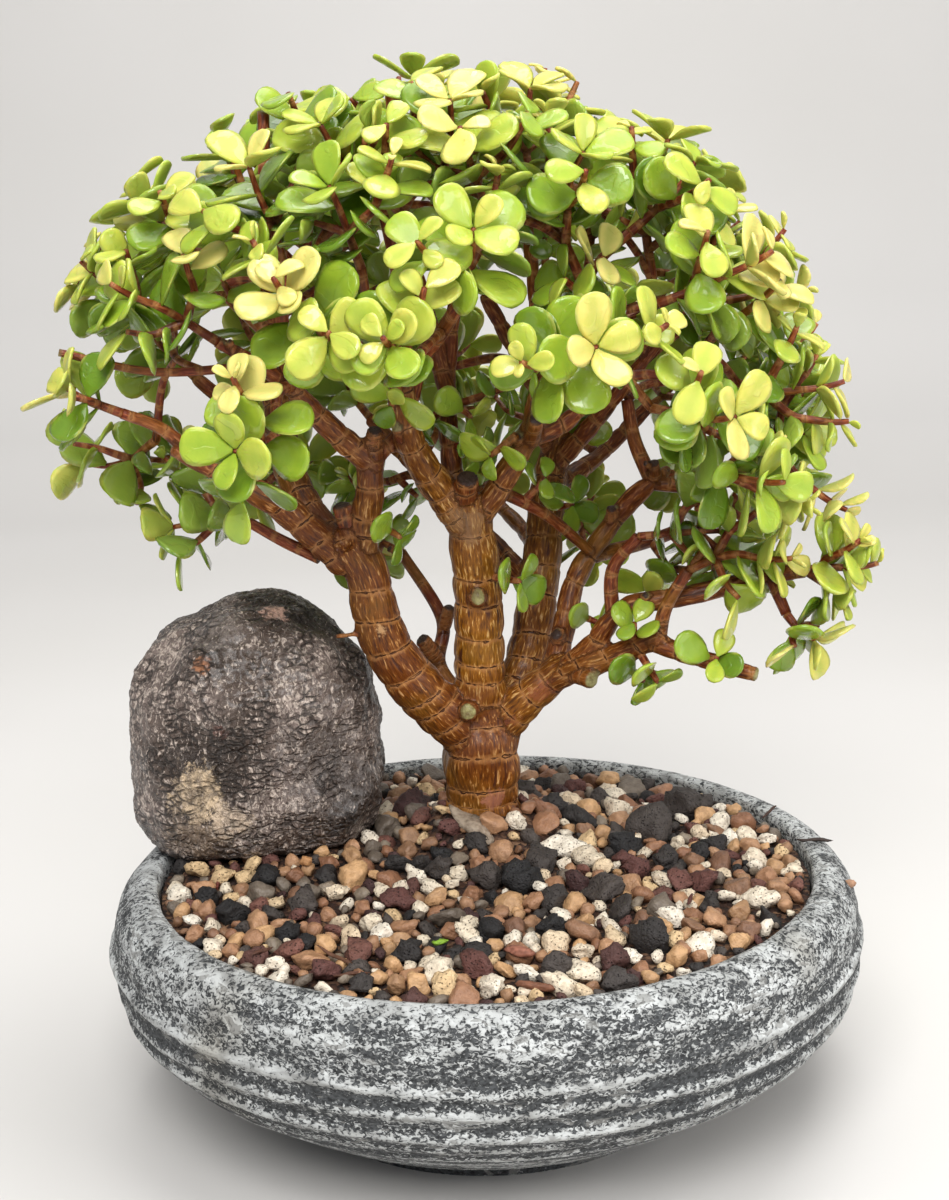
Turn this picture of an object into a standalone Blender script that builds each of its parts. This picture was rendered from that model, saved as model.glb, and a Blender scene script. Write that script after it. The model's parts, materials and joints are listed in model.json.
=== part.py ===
"""Variegated dwarf jade bonsai in a round cement bowl, beside a volcanic stone.

The pieces are made in the order in which the tree is potted: bowl, drain screens, gravel, stone,
wood and leafy sprays. Sizes are in millimetres and meshes in metres. +Z is up, -Y is the front,
and the origin is the centre of the flat foot under the bowl.
"""

import math
import random

import bmesh
import bpy
import numpy as np
from mathutils import Vector, noise
from mathutils.geometry import delaunay_2d_cdt

MM = 0.001
GAP = 0.35

BOWL_SIDES = 32
RIM_HEIGHT = 67
MOUTH_RADIUS = 93
FOOT_RADIUS = 58
FLOOR_THICKNESS = 9
RIDGE_DEPTH = 0.9
BOWL_BODY = [(62, 4.5), (74, 11), (86, 19), (97, 27), (104, 35), (106.5, 46), (105.5, 57), (103, 63)]
BOWL_LIP = [(99, 66.3), (96, RIM_HEIGHT), (MOUTH_RADIUS, 65.8)]
BOWL_INSIDE = [(92, 45), (84, 24), (68, 12), (62, FLOOR_THICKNESS)]

DRAIN_RADIUS = 5.5
DRAIN_OFFSET = 30
SCREEN_SIZE = 16
SCREEN_THICKNESS = 1
SCREEN_HOLE = 4

SOIL_SEED = 5
SOIL_EDGE_HEIGHT = 64.4
MOUND_HEIGHT = 6
MOUND_SPREAD = 36
GRAIN_SPACING = 10.2
GRAIN_RISE = 2.2

STONE_CENTRE = (-67, 27, 101)
STONE_HALF_SIZE = (38, 32, 39)
STONE_BASE_HEIGHT = 67.5
STONE_SQUARENESS = 2.35

STUMP_FOOT = (0, 24)
STUMP_RADIUS = 10.8
STUMP_BOTTOM = 44

STUMP_RINGS = [
    ((0, 24, STUMP_BOTTOM), STUMP_RADIUS),
    ((0, 24, 74), STUMP_RADIUS),
    ((0, 24, 78), 10.2),
    ((0, 23.5, 86), 10.9),
    ((0, 23, 93), 11.2),
    ((0, 23, 100), 11.5),
    ((0, 22, 107), 8.5),
]

CROWN_CENTRE = Vector((-8, 16, 194))
CROWN_REACH = Vector((113, 92, 98))
SHOOT_REACH = 31
SEAT_DEPTH = 0.78
SEAT_CANDIDATES = 400
SPRAY_SPACING = 28
LOWEST_TWIG_HEIGHT = 128
TWIG_TIP_RADIUS = 1.3
# Height of the lowest leaves at each bearing, in degrees to the right of the front.
LOWEST_LEAVES = ([-180, -130, -90, -35, 0, 35, 90, 180], [152, 168, 178, 194, 206, 192, 142, 152])

GROWTH_SEED = 11
STEM_HALF_WIDTH = 0.85
SHORTEST_LEADER = 15
LONGEST_LEADER = 34
# Shoots that start below this height are kept shorter, so that the crown ends flat underneath.
LOW_SHOOT_HEIGHT = 168
LOW_SHOOT_SHARE = 0.7
LEADER_SHARES = (0.4, 0.33, 0.27)
SIDE_SHARES = (0.36, 0.26)
LEADER_LEAF = 15
SIDE_LEAF = 13.5
LEAF_WIDTH_SHARE = 0.8
LEAF_THICKNESS = 1.7
# The postures tried for a leaf: its tilt in degrees and its size.
LEAF_POSTURES = [
    (0, 1), (12, 1), (-12, 1), (24, 1), (-24, 0.92),
    (36, 0.92), (0, 0.8), (20, 0.75), (-30, 0.75), (45, 0.7),
]
# The right and left side of a leaf with its blunt tip, as shares of its length and half width.
LEAF_RIM = [(0.42, 0.88), (0.94, 0.64), (0.94, -0.64), (0.42, -0.88)]
MOST_PIECES = 6000
EXTENT_WAYS = 64
GOLDEN_TURN = math.pi * (1 + 5**0.5)
UP = Vector((0, 0, 1))

# Each limb: sides, radius at its start and end, and the points that its axis passes through.
LIMBS = {
    "left limb": (8, 8.0, 6.0, [
        (-3, 21, 98), (-17, 14, 114), (-27, 8, 131), (-31, 5, 151), (-35, 4, 160)]),
    "left rear limb": (7, 5.2, 3.6, [
        (-34, 5, 155), (-44, 10, 164), (-52, 20, 177), (-57, 34, 198), (-60, 42, 212)]),
    "left low limb": (7, 5.0, 2.4, [
        (-36, 5, 154), (-52, 2, 170), (-60, -4, 177), (-70, -10, 184), (-80, -15, 191)]),
    "left front limb": (7, 4.3, 3.7, [(-33, 4, 152), (-30, 2, 168), (-28, 0, 186)]),
    "left front fork": (5, 3.6, 2.0, [
        (-28, 0, 183), (-39, -4, 194), (-48, -9, 206), (-50, -13, 224), (-48, -16, 238)]),
    "left front tip": (4, 2.4, 1.6, [(-47, -8, 204), (-56, -14, 212), (-66, -19, 219)]),
    "inner left fork": (4, 2.6, 1.8, [(-28, 0, 184), (-19, 4, 192), (-15, 8, 206)]),
    "middle trunk": (8, 7.6, 6.4, [(0, 23, 98), (0, 20, 114), (0, 16, 144), (-2, 12, 168)]),
    "middle left limb": (7, 5.2, 2.8, [
        (-2, 12, 162), (-9, 9, 172), (-17, 0, 188), (-19, -8, 204), (-18, -16, 226)]),
    "middle rear limb": (4, 3.2, 1.8, [(-4, 13, 166), (-7, 16, 187), (-6, 17, 212), (-3, 17, 232)]),
    "middle right limb": (5, 3.9, 2.4, [
        (-1, 12, 163), (5, 10, 171), (15, 4, 189), (19, -4, 203), (30, -12, 220)]),
    "middle right fork": (4, 2.8, 1.9, [(14, 5, 187), (26, 9, 192), (38, 13, 203)]),
    "rear right trunk": (8, 7.0, 4.4, [
        (3, 25, 98), (14, 33, 117), (19, 40, 142), (22, 45, 168), (29, 52, 193)]),
    "rear right top": (5, 3.8, 2.2, [(28, 51, 189), (34, 50, 206), (34, 44, 228)]),
    "rear left limb": (5, 3.6, 2.2, [(18, 39, 136), (2, 56, 152), (-16, 68, 168), (-32, 72, 186)]),
    "rear low limb": (4, 2.8, 1.9, [(19, 41, 148), (14, 62, 152), (4, 78, 160)]),
    "rear far limb": (5, 3.4, 2.0, [(22, 45, 166), (38, 60, 174), (54, 66, 188)]),
    "rear upper limb": (5, 3.6, 2.0, [(27, 50, 184), (16, 62, 202), (4, 62, 224)]),
    "left far limb": (4, 3.0, 1.9, [(-55, 27, 188), (-68, 42, 192), (-82, 46, 203)]),
    "right limb": (8, 6.8, 4.8, [(2, 22, 98), (13, 19, 109), (24, 16, 119)]),
    "right low limb": (5, 3.9, 3.0, [(19, 17, 114), (30, 10, 121), (40, 5, 126), (51, -3, 133)]),
    "right low end": (5, 2.9, 2.1, [(48, -1, 131), (58, -6, 128), (67, -10, 126), (76, -14, 124)]),
    "right low shoot": (4, 2.2, 1.7, [(50, -2, 131), (52, -3, 141), (58, -5, 152)]),
    "right long limb": (5, 3.4, 2.3, [
        (20, 17, 115), (32, 10, 127), (41, 5, 139), (58, 2, 143), (74, 0, 147), (90, -4, 151)]),
    "right long shoot": (4, 2.2, 1.7, [(38, 6, 135), (38, 6, 150), (45, 3, 160)]),
    "right rear limb": (5, 3.6, 2.7, [
        (18, 18, 112), (24, 22, 126), (29, 29, 143), (43, 33, 162), (54, 33, 172)]),
    "right rear top": (4, 2.4, 1.8, [(52, 33, 170), (47, 35, 182), (45, 37, 194)]),
    "right rear end": (4, 2.4, 1.8, [(52, 33, 170), (62, 32, 169), (75, 32, 170)]),
    "right far limb": (4, 2.4, 1.8, [(34, 31, 149), (54, 44, 151), (74, 48, 158)]),
    "crossing twig": (4, 1.9, 1.5, [(6, 11, 173), (20, 19, 164), (33, 28, 151)]),
    "small rear limb": (4, 2.4, 1.7, [(-3, 26, 105), (-12, 35, 116), (-11, 41, 129), (-23, 53, 147)]),
    "low left twig": (4, 1.9, 1.5, [(-44, 5, 156), (-54, 9, 160), (-64, 13, 165)]),
    "left upper limb": (4, 2.3, 1.6, [(-49, -12, 216), (-60, -8, 226), (-72, -2, 237)]),
    "left rear top": (4, 2.8, 1.8, [(-58, 40, 207), (-56, 38, 222), (-46, 34, 240)]),
    "cut leader": (5, 2.9, 2.1, [(-6, 16, 196), (-12, 15, 220), (-18, 8, 250), (-19, 2, 284)]),
    "cut left top": (4, 1.9, 1.6, [(-49, -12, 218), (-53, -6, 248), (-53, -1, 277)]),
    "left low end": (4, 2.2, 1.5, [(-72, -11, 185), (-82, -16, 196), (-92, -19, 201)]),
    "dry twig": (4, 1.3, 1.0, [(-57, -15, 212), (-84, -13, 211), (-108, -16, 217)]),
    "middle front limb": (4, 2.4, 1.7, [(-19, -9, 206), (-8, -24, 220), (-2, -34, 230)]),
    "right upper limb": (4, 2.6, 1.7, [(20, -4, 204), (18, 6, 224), (16, 10, 246)]),
    "right crown limb": (4, 3.0, 1.8, [(23, 46, 172), (42, 34, 196), (56, 24, 216)]),
    "right hanging twig": (4, 1.9, 1.5, [(81, -2, 149), (83, -4, 144), (85, -6, 139)]),
}
BARE_ENDS = ("cut leader", "cut left top", "dry twig", "right low end")
CUT_STUBS = [
    ((-34, 5, 156), (-37, 1, 172), 2.8),
    ((-3, 11, 168), (-2, 3, 178), 3.4),
    ((16, 3, 188), (17, -5, 195), 2.4),
    ((-17, 0, 186), (-21, -6, 194), 2.2),
    ((0, 17, 140), (0, 7, 143), 2.6),
    ((-2, 21, 106), (-4, 8, 109), 2.8),
    ((24, 15, 118), (32, 3, 119), 2.6),
    ((53, 33, 170), (52, 28, 177), 2.2),
]


def clear_scene():
    for old in list(bpy.data.objects):
        bpy.data.objects.remove(old)


def material(name, color, roughness):
    made = bpy.data.materials.new(name)
    made.use_nodes = True
    shader = made.node_tree.nodes["Principled BSDF"]
    shader.inputs["Base Color"].default_value = (*color, 1)
    shader.inputs["Roughness"].default_value = roughness
    shader.inputs["Metallic"].default_value = 0
    return made


def mesh_object(name, points, faces, finish=None, smooth=False):
    mesh = bpy.data.meshes.new(name)
    mesh.from_pydata([tuple(c * MM for c in point) for point in points], [], faces)
    if smooth:
        mesh.shade_smooth()
        mesh.set_sharp_from_angle(angle=math.radians(40))
    if finish:
        mesh.materials.append(finish)
    made = bpy.data.objects.new(name, mesh)
    bpy.context.scene.collection.objects.link(made)
    return made


def helper(name, points, faces):
    made = mesh_object(name, points, faces)
    made.hide_render = True
    made.display_type = "WIRE"
    return made


def apply_boolean(target, operation, cutters, solver="EXACT"):
    """Cuts or joins the helpers with the target, then removes them."""
    group = bpy.data.collections.new("cutters")
    for cutter in cutters:
        group.objects.link(cutter)
    cut = target.modifiers.new("cut", "BOOLEAN")
    cut.operation = operation
    cut.operand_type = "COLLECTION"
    cut.collection = group
    cut.solver = solver
    seen = bpy.context.evaluated_depsgraph_get()
    result = bpy.data.meshes.new_from_object(target.evaluated_get(seen))
    target.modifiers.clear()
    target.data = result
    for cutter in cutters:
        bpy.data.objects.remove(cutter)
    bpy.data.collections.remove(group)


def smooth_path(points, step):
    """Points about one step apart on a Catmull-Rom curve through the given points."""
    knots = [Vector(p) for p in points]
    knots = [knots[0] * 2 - knots[1], *knots, knots[-1] * 2 - knots[-2]]
    path = []
    for before, start, end, after in zip(knots, knots[1:], knots[2:], knots[3:]):
        parts = max(1, round((end - start).length / step))
        for part in range(parts):
            t = part / parts
            bend = (2 * before - 5 * start + 4 * end - after) * t * t
            turn = (3 * start - before - 3 * end + after) * t * t * t
            path.append(0.5 * (2 * start + (end - before) * t + bend + turn))
    path.append(knots[-2])
    return path


def rings_along(path, radii, sides):
    """The rings of points of a tube, turned as little as possible from one to the next."""
    rings = []
    across = Vector((0.3, 1, 0.2))
    for index, centre in enumerate(path):
        along = (path[min(index + 1, len(path) - 1)] - path[max(index - 1, 0)]).normalized()
        across = (across - along * across.dot(along)).normalized()
        other = along.cross(across)
        turns = [2 * math.pi * side / sides for side in range(sides)]
        rings.append([centre + (across * math.cos(a) + other * math.sin(a)) * radii[index] for a in turns])
    return rings


def level_ring(centre, radius, sides=10):
    turns = [2 * math.pi * side / sides for side in range(sides)]
    return [Vector(centre) + Vector((math.cos(a), math.sin(a), 0)) * radius for a in turns]


def closed_tube(rings):
    sides = len(rings[0])
    points = [point for ring in rings for point in ring]
    faces = [tuple(range(sides))[::-1], tuple(range(len(points) - sides, len(points)))]
    for start in range(0, len(points) - sides, sides):
        for side in range(sides):
            after = (side + 1) % sides
            faces.append((start + side, start + after, start + sides + after, start + sides + side))
    return points, faces


def turned(outline, sides):
    """A closed solid of revolution. The outline runs up the outside and down the inside."""
    angles = [2 * math.pi * side / sides for side in range(sides)]
    rings = [[Vector((r * math.cos(a), r * math.sin(a), z)) for a in angles] for r, z in outline]
    return closed_tube(rings)


# Bowl


def ridged_body():
    """The outer side of the bowl, with hand-run ridges standing out from it."""
    heights = np.linspace(BOWL_BODY[0][1], BOWL_BODY[-1][1], 12)
    radii = np.interp(heights, [z for _, z in BOWL_BODY], [r for r, _ in BOWL_BODY])
    last = len(heights) - 1
    return [
        (r + (RIDGE_DEPTH * (1 if index % 2 else -1) if 0 < index < last - 2 else 0), z)
        for index, (r, z) in enumerate(zip(radii, heights))
    ]


def make_bowl():
    outside = [(FOOT_RADIUS, 0), (FOOT_RADIUS, 4), *ridged_body(), *BOWL_LIP]
    outline = [*outside, *BOWL_INSIDE]
    cement = material("bowl cement", (0.27, 0.29, 0.3), 0.75)
    bowl = mesh_object("bowl", *turned(outline, BOWL_SIDES), cement, smooth=True)
    drains = []
    for side in (-1, 1):
        points, faces = turned([(DRAIN_RADIUS, -2), (DRAIN_RADIUS, FLOOR_THICKNESS + 2)], 12)
        points = [p + Vector((side * DRAIN_OFFSET, 0, 0)) for p in points]
        drains.append(helper("drain", points, faces))
    apply_boolean(bowl, "DIFFERENCE", drains)


def box(low, high):
    xs, ys, zs = zip(low, high)
    points = [Vector((x, y, z)) for x in xs for y in ys for z in zs]
    faces = [(0, 1, 3, 2), (4, 6, 7, 5), (0, 4, 5, 1), (2, 3, 7, 6), (0, 2, 6, 4), (1, 5, 7, 3)]
    return points, faces


def make_drain_screens():
    """A square of plastic mesh over each drain hole, with four openings."""
    plastic = material("screen plastic", (0.02, 0.02, 0.02), 0.5)
    low = FLOOR_THICKNESS + GAP
    for name, side in (("drain_screen_left", -1), ("drain_screen_right", 1)):
        middle = side * DRAIN_OFFSET
        half = SCREEN_SIZE / 2
        corners = box((middle - half, -half, low), (middle + half, half, low + SCREEN_THICKNESS))
        screen = mesh_object(name, *corners, plastic)
        half = SCREEN_HOLE / 2
        holes = []
        for x in (middle - 3, middle + 3):
            for y in (-3, 3):
                hole = box((x - half, y - half, low - 1), (x + half, y + half, low + 3))
                holes.append(helper("hole", *hole))
        apply_boolean(screen, "DIFFERENCE", holes)


# Gravel


def soil_height(x, y):
    from_stump = math.hypot(x - STUMP_FOOT[0], y - STUMP_FOOT[1])
    return SOIL_EDGE_HEIGHT + MOUND_HEIGHT * math.exp(-((from_stump / MOUND_SPREAD) ** 2))


def make_soil(stone_points, stone_faces):
    """Gravel that fills the bowl: its top is a field of low peaks, one for each coarse grain."""
    draw = random.Random(SOIL_SEED)
    edge = MOUTH_RADIUS - GAP - 0.2
    angles = [2 * math.pi * side / BOWL_SIDES for side in range(BOWL_SIDES)]
    top = [Vector((edge * math.cos(a), edge * math.sin(a), SOIL_EDGE_HEIGHT)) for a in angles]
    rows = int(MOUTH_RADIUS / GRAIN_SPACING / 0.866) + 1
    for row in range(-rows, rows + 1):
        for column in range(-rows, rows + 1):
            x = (column + row % 2 / 2) * GRAIN_SPACING + draw.uniform(-1, 1)
            y = row * GRAIN_SPACING * 0.866 + draw.uniform(-1, 1)
            if math.hypot(x, y) < edge - GRAIN_SPACING / 2:
                peak = (column - row % 2 + row // 2) % 3 == 0
                rise = GRAIN_RISE if peak else -GRAIN_RISE / 3
                top.append(Vector((x, y, soil_height(x, y) + rise + draw.uniform(-0.6, 0.6))))
    flat = [point.xy for point in top]
    triangles = delaunay_2d_cdt(flat, [], [], 0, 1e-4)[2]
    points = list(top)
    faces = [tuple(face) for face in triangles]
    above = list(range(BOWL_SIDES))
    for radius, height in BOWL_INSIDE:
        below = [len(points) + side for side in range(BOWL_SIDES)]
        inset = radius - GAP - 0.2
        points += [Vector((inset * math.cos(a), inset * math.sin(a), height + GAP)) for a in angles]
        for side in range(BOWL_SIDES):
            after = (side + 1) % BOWL_SIDES
            faces.append((below[side], below[after], above[after], above[side]))
        above = below
    faces.append(tuple(above)[::-1])
    gravel = material("gravel", (0.2, 0.14, 0.1), 0.85)
    soil = mesh_object("soil", points, faces, gravel)
    centre = Vector(STONE_CENTRE)
    grown = [centre + (p - centre) * 1.012 for p in stone_points]
    hole = [level_ring((*STUMP_FOOT, z), STUMP_RADIUS + GAP) for z in (STUMP_BOTTOM - GAP, 90)]
    cutters = [helper("stone seat", grown, stone_faces), helper("stump hole", *closed_tube(hole))]
    for side in (-1, 1):
        half = SCREEN_SIZE / 2 + GAP
        middle = side * DRAIN_OFFSET
        above_screen = FLOOR_THICKNESS + SCREEN_THICKNESS + 2 * GAP
        pocket = box((middle - half, -half, 0), (middle + half, half, above_screen))
        cutters.append(helper("screen pocket", *pocket))
    apply_boolean(soil, "DIFFERENCE", cutters)


# Stone


def stone_shape():
    """A worn boulder: a rounded block with broad dents, set down on a small flat."""
    ball = bmesh.new()
    bmesh.ops.create_icosphere(ball, subdivisions=3, radius=1)
    half = Vector(STONE_HALF_SIZE)
    points = []
    for vert in ball.verts:
        way = vert.co.normalized()
        block = sum(abs(c) ** STONE_SQUARENESS for c in way) ** (-1 / STONE_SQUARENESS)
        dent = 1 + 0.09 * noise.noise(way * 1.4 + Vector((3.1, 0.4, 7.7)))
        dent += 0.035 * noise.noise(way * 4.2 + Vector((8.0, 2.5, 1.3)))
        lean = 1 - 0.12 * abs(way.x) * max(0.0, way.z)
        point = Vector(STONE_CENTRE) + Vector([c * h for c, h in zip(way * block * dent * lean, half)])
        point.z = max(point.z, STONE_BASE_HEIGHT)
        points.append(point)
    faces = [tuple(v.index for v in face.verts) for face in ball.faces]
    ball.free()
    return points, faces


def make_stone(points, faces):
    basalt = material("volcanic stone", (0.1, 0.085, 0.075), 0.8)
    mesh_object("stone", points, faces, basalt, smooth=True)


# Wood


def depth_in_crown(point, margin):
    """0 at the middle of the crown, 1 on the surface that lies a margin inside the leaf tips."""
    reach = CROWN_REACH - Vector((margin, margin, margin))
    return Vector([c / r for c, r in zip(point - CROWN_CENTRE, reach)]).length


def outward(point):
    return Vector([c / r / r for c, r in zip(point - CROWN_CENTRE, CROWN_REACH)]).normalized()


def is_leafy(point):
    """True where the crown carries leaves: it is open low down at the front, over the trunks."""
    bearing = math.degrees(math.atan2(point.x - CROWN_CENTRE.x, CROWN_CENTRE.y - point.y))
    return point.z > np.interp(bearing, *LOWEST_LEAVES)


def limb_tubes():
    """The limbs as (path, radii, sides). The thick ones swell a little between their old leaf rings."""
    tubes = []
    for sides, start, end, points in LIMBS.values():
        path = smooth_path(points, 9 if sides > 6 else 16)
        radii = np.linspace(start, end, len(path))
        if sides > 6:
            radii = [r * (1.04 if index % 2 else 0.96) for index, r in enumerate(radii)]
        tubes.append((path, list(radii), sides))
    return tubes


def spread_seats(tubes, names):
    """Where the sprays sit: limb ends near the crown's surface, then twig ends that fill the rest evenly.

    Returns the twigs as tubes, and a (point, direction) seat for each spray.
    """
    twigs, seats, joints = [], [], []
    for name, (path, radii, _) in zip(names, tubes):
        is_seat = depth_in_crown(path[-1], SHOOT_REACH) > SEAT_DEPTH and radii[-1] < 2.5
        is_seat = is_seat and name not in BARE_ENDS
        for index in range(1, len(path) - is_seat):
            along = (path[index] - path[index - 1]).normalized()
            if radii[index] < 5.5 and path[index].z > LOWEST_TWIG_HEIGHT:
                joints.append((path[index], along, radii[index]))
        if is_seat:
            seats.append((path[-1], (path[-1] - path[-2]).normalized()))
    for index in range(SEAT_CANDIDATES):
        height = 1 - 2 * (index + 0.5) / SEAT_CANDIDATES
        turn = GOLDEN_TURN * index
        flat = math.sqrt(1 - height * height)
        way = Vector((flat * math.cos(turn), flat * math.sin(turn), height))
        reach = CROWN_REACH - Vector((SHOOT_REACH, SHOOT_REACH, SHOOT_REACH))
        seat = CROWN_CENTRE + Vector([w * r for w, r in zip(way, reach)])
        if not is_leafy(seat) or any((seat - other).length < SPRAY_SPACING for other, _ in seats):
            continue
        start, along, radius = min(joints, key=lambda joint: twig_cost(seat, *joint))
        span = seat - start
        middle = start + (along * 0.5 + span.normalized() * 0.5) * span.length * 0.45
        steps = max(2, round(span.length / 18))
        path = []
        for step in range(steps + 1):
            t = step / steps
            path.append(start * (1 - t) ** 2 + middle * 2 * t * (1 - t) + seat * t * t)
        thick = min(radius * 0.8, 1.5 + span.length * 0.012)
        radii = list(np.linspace(thick, TWIG_TIP_RADIUS, steps + 1))
        twigs.append((path, radii, 4))
        joints += [(p, (p - q).normalized(), r) for p, q, r in zip(path[1:-1], path, radii[1:])]
        seats.append((seat, (path[-1] - path[-2]).normalized()))
    return twigs, seats


def twig_cost(seat, point, along, radius):
    """Low for a near limb that already points towards the seat."""
    span = seat - point
    return span.length * (1.5 - 0.5 * along.dot(span.normalized())) + radius


def stub_tube(start, end, radius):
    path = [Vector(start), Vector(end)]
    return path, [radius, radius * 0.9], 5


def make_wood(tubes):
    bark = material("bark", (0.27, 0.11, 0.04), 0.5)
    stump = closed_tube([level_ring(centre, radius) for centre, radius in STUMP_RINGS])
    wood = mesh_object("trunk_and_branches", *stump, bark)
    parts = [helper("limb", *closed_tube(rings_along(*tube))) for tube in tubes]
    apply_boolean(wood, "UNION", parts, solver="MANIFOLD")


# Leafy sprays


class Room:
    """The convex pieces placed so far, with their extents along many directions, to keep new ones clear."""

    def __init__(self):
        turns = [GOLDEN_TURN * index for index in range(EXTENT_WAYS)]
        heights = [(index + 0.5) / EXTENT_WAYS for index in range(EXTENT_WAYS)]
        flats = [math.sqrt(1 - h * h) for h in heights]
        ways = [(f * math.cos(t), f * math.sin(t), h) for f, t, h in zip(flats, turns, heights)]
        self.ways = np.array(ways)
        self.low = np.empty((MOST_PIECES, EXTENT_WAYS))
        self.high = np.empty((MOST_PIECES, EXTENT_WAYS))
        self.pieces = []

    def add(self, points, facing):
        """Keeps a piece, and returns its number."""
        points = np.array(points)
        spread = points @ self.ways.T
        self.low[len(self.pieces)] = spread.min(axis=0)
        self.high[len(self.pieces)] = spread.max(axis=0)
        self.pieces.append((points, np.array(facing)))
        return len(self.pieces) - 1

    def is_clear(self, points, facing, joined=()):
        """True where the points lie clear of every piece but those that they grow from."""
        points, facing = np.array(points), np.array(facing)
        spread = points @ self.ways.T
        low, high = spread.min(axis=0), spread.max(axis=0)
        count = len(self.pieces)
        apart = np.maximum(low - self.high[:count], self.low[:count] - high).max(axis=1)
        for index in np.nonzero(apart < GAP)[0]:
            other, other_facing = self.pieces[index]
            if index not in joined and not separated(points, other, (facing, other_facing)):
                return False
        return True


def separated(points, other, ways):
    for way in ways:
        here, there = points @ way, other @ way
        if max(here.min() - there.max(), there.min() - here.max()) >= GAP:
            return True
    return False


def square_ring(centre, along, across, half):
    other = along.cross(across)
    corners = ((1, 1), (-1, 1), (-1, -1), (1, -1))
    return [centre + across * (half * x) + other * (half * y) for x, y in corners]


def square_to(along, across):
    return (across - along * across.dot(along)).normalized()


def grow_shoot(room, draw, base, start, along, across, internodes, target, joined):
    """A shoot as a list of nodes: short square blocks of stem that leaves and side shoots grow from."""
    nodes = []
    half = STEM_HALF_WIDTH
    below = base
    for length in internodes:
        for _ in range(12):
            sway = Vector([draw.uniform(-1, 1) for _ in range(3)])
            way = (along + sway * 0.2).normalized()
            side = square_to(way, across)
            low = square_ring(start + way * (length - half), way, side, half)
            high = square_ring(start + way * (length + half), way, side, half)
            if room.is_clear(below + low + high, way, joined):
                break
        else:
            break
        number = room.add(below + low + high, way)
        joined = {number}
        nodes.append({"low": low, "high": high, "along": way, "number": number, "leaves": {}, "shoots": {}})
        start = start + way * length
        along = (way + target * 0.6).normalized()
        across = side
        below = high
        half *= 0.94
    return nodes


def face_frame(node, face):
    """Corners of one side of a node, its middle, the way it faces and the way along its width."""
    after = (face + 1) % 4
    corners = [node["low"][face], node["low"][after], node["high"][after], node["high"][face]]
    middle = sum(corners, Vector()) / 4
    width = (corners[0] - corners[1]).normalized()
    return corners, middle, width.cross(-node["along"]).normalized(), width


def grow_spray(room, draw, seat, way, joined):
    """A leading shoot with two side shoots from its first node."""
    target = (outward(seat) + UP * 0.3).normalized()
    heading = (way * 0.6 + target * 0.6).normalized()
    room_ahead = 0
    while depth_in_crown(seat + heading * room_ahead, 0) < 1 and room_ahead < 40:
        room_ahead += 1
    length = min(LONGEST_LEADER, max(SHORTEST_LEADER, room_ahead - 8))
    if seat.z < LOW_SHOOT_HEIGHT:
        length *= LOW_SHOOT_SHARE
    across = square_to(way, Vector([draw.uniform(-1, 1) for _ in range(3)]))
    start = seat + way * (GAP + 0.05)
    base = square_ring(start, way, across, STEM_HALF_WIDTH)
    internodes = [length * share for share in LEADER_SHARES]
    leader_across = square_to(heading, across)
    leader = grow_shoot(room, draw, base, start, heading, leader_across, internodes, target, joined)
    if not leader:
        return None
    fork = leader[0]
    for face in (0, 2):
        corners, middle, out, width = face_frame(fork, face)
        side_way = (out * 0.85 + fork["along"] * 0.5).normalized()
        others = {node["number"] for node in leader[:2]}
        others |= {fork["shoots"][0][0]["number"]} if fork["shoots"].get(0) else set()
        internodes = [length * share for share in SIDE_SHARES]
        fork["shoots"][face] = grow_shoot(
            room, draw, corners, middle, side_way, square_to(side_way, width), internodes, target, others
        )
    return {"base": base, "nodes": leader}


def leaf_outline(root, way, width_way, length, width):
    """Right side and left side of a spoon-shaped leaf, then the middle of its upper and lower side."""
    over = width_way.cross(way)
    half = width / 2
    points = [root + way * (length * x) + width_way * (half * y) for x, y in LEAF_RIM]
    middle = root + way * (length * 0.58)
    return points + [middle + over * (LEAF_THICKNESS / 2), middle - over * (LEAF_THICKNESS / 2)]


def is_in_quarter(points, centre, out, width_way):
    """True where the points stay between the two diagonals of their node, clear of a leaf on the next side."""
    offsets = [point - centre for point in points]
    return all(abs(offset.dot(width_way)) < offset.dot(out) - GAP for offset in offsets)


def grow_leaf(room, draw, node, face, length, lift, joined):
    """Tries a few postures and sizes for one leaf, and keeps the first that is clear of everything."""
    corners, root, out, width_way = face_frame(node, face)
    centre = sum(node["low"] + node["high"], Vector()) / 8
    twist = math.radians(draw.uniform(-14, 14))
    for tilt, size in LEAF_POSTURES:
        angle = math.radians(lift + tilt)
        way = (out * math.cos(angle) + node["along"] * math.sin(angle)).normalized()
        side = width_way * math.cos(twist) + width_way.cross(way) * math.sin(twist)
        points = leaf_outline(root, way, side, length * size, length * size * LEAF_WIDTH_SHARE)
        facing = side.cross(way)
        if not is_in_quarter(points, centre, out, width_way):
            continue
        if room.is_clear(corners + points, facing, joined):
            joined.add(room.add(corners + points, facing))
            node["leaves"][face] = points
            return


def add_leaves(room, draw, nodes, first_length, is_leader):
    """Opposite pairs, each at right angles to the last, and a cross of two pairs at the leading tip."""
    for index, node in enumerate(nodes):
        young = (index + 1) / len(nodes)
        joined = {node["number"]} | {n["number"] for n in nodes[index + 1 : index + 2]}
        joined |= {shoot[0]["number"] for shoot in node["shoots"].values() if shoot}
        pair, cross_pair = ((0, 2), (1, 3)) if index % 2 else ((1, 3), (0, 2))
        pairs = [(pair, 1, 0)]
        if is_leader and 0 < index == len(nodes) - 1:
            pairs.append((cross_pair, 0.8, 8))
        for pair, share, rise in pairs:
            for face in pair:
                length = first_length * share * (1.12 - 0.3 * young) * draw.uniform(0.92, 1.1)
                lift = 12 + 20 * young + rise + draw.uniform(-6, 6)
                grow_leaf(room, draw, node, face, length, lift, joined)


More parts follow.
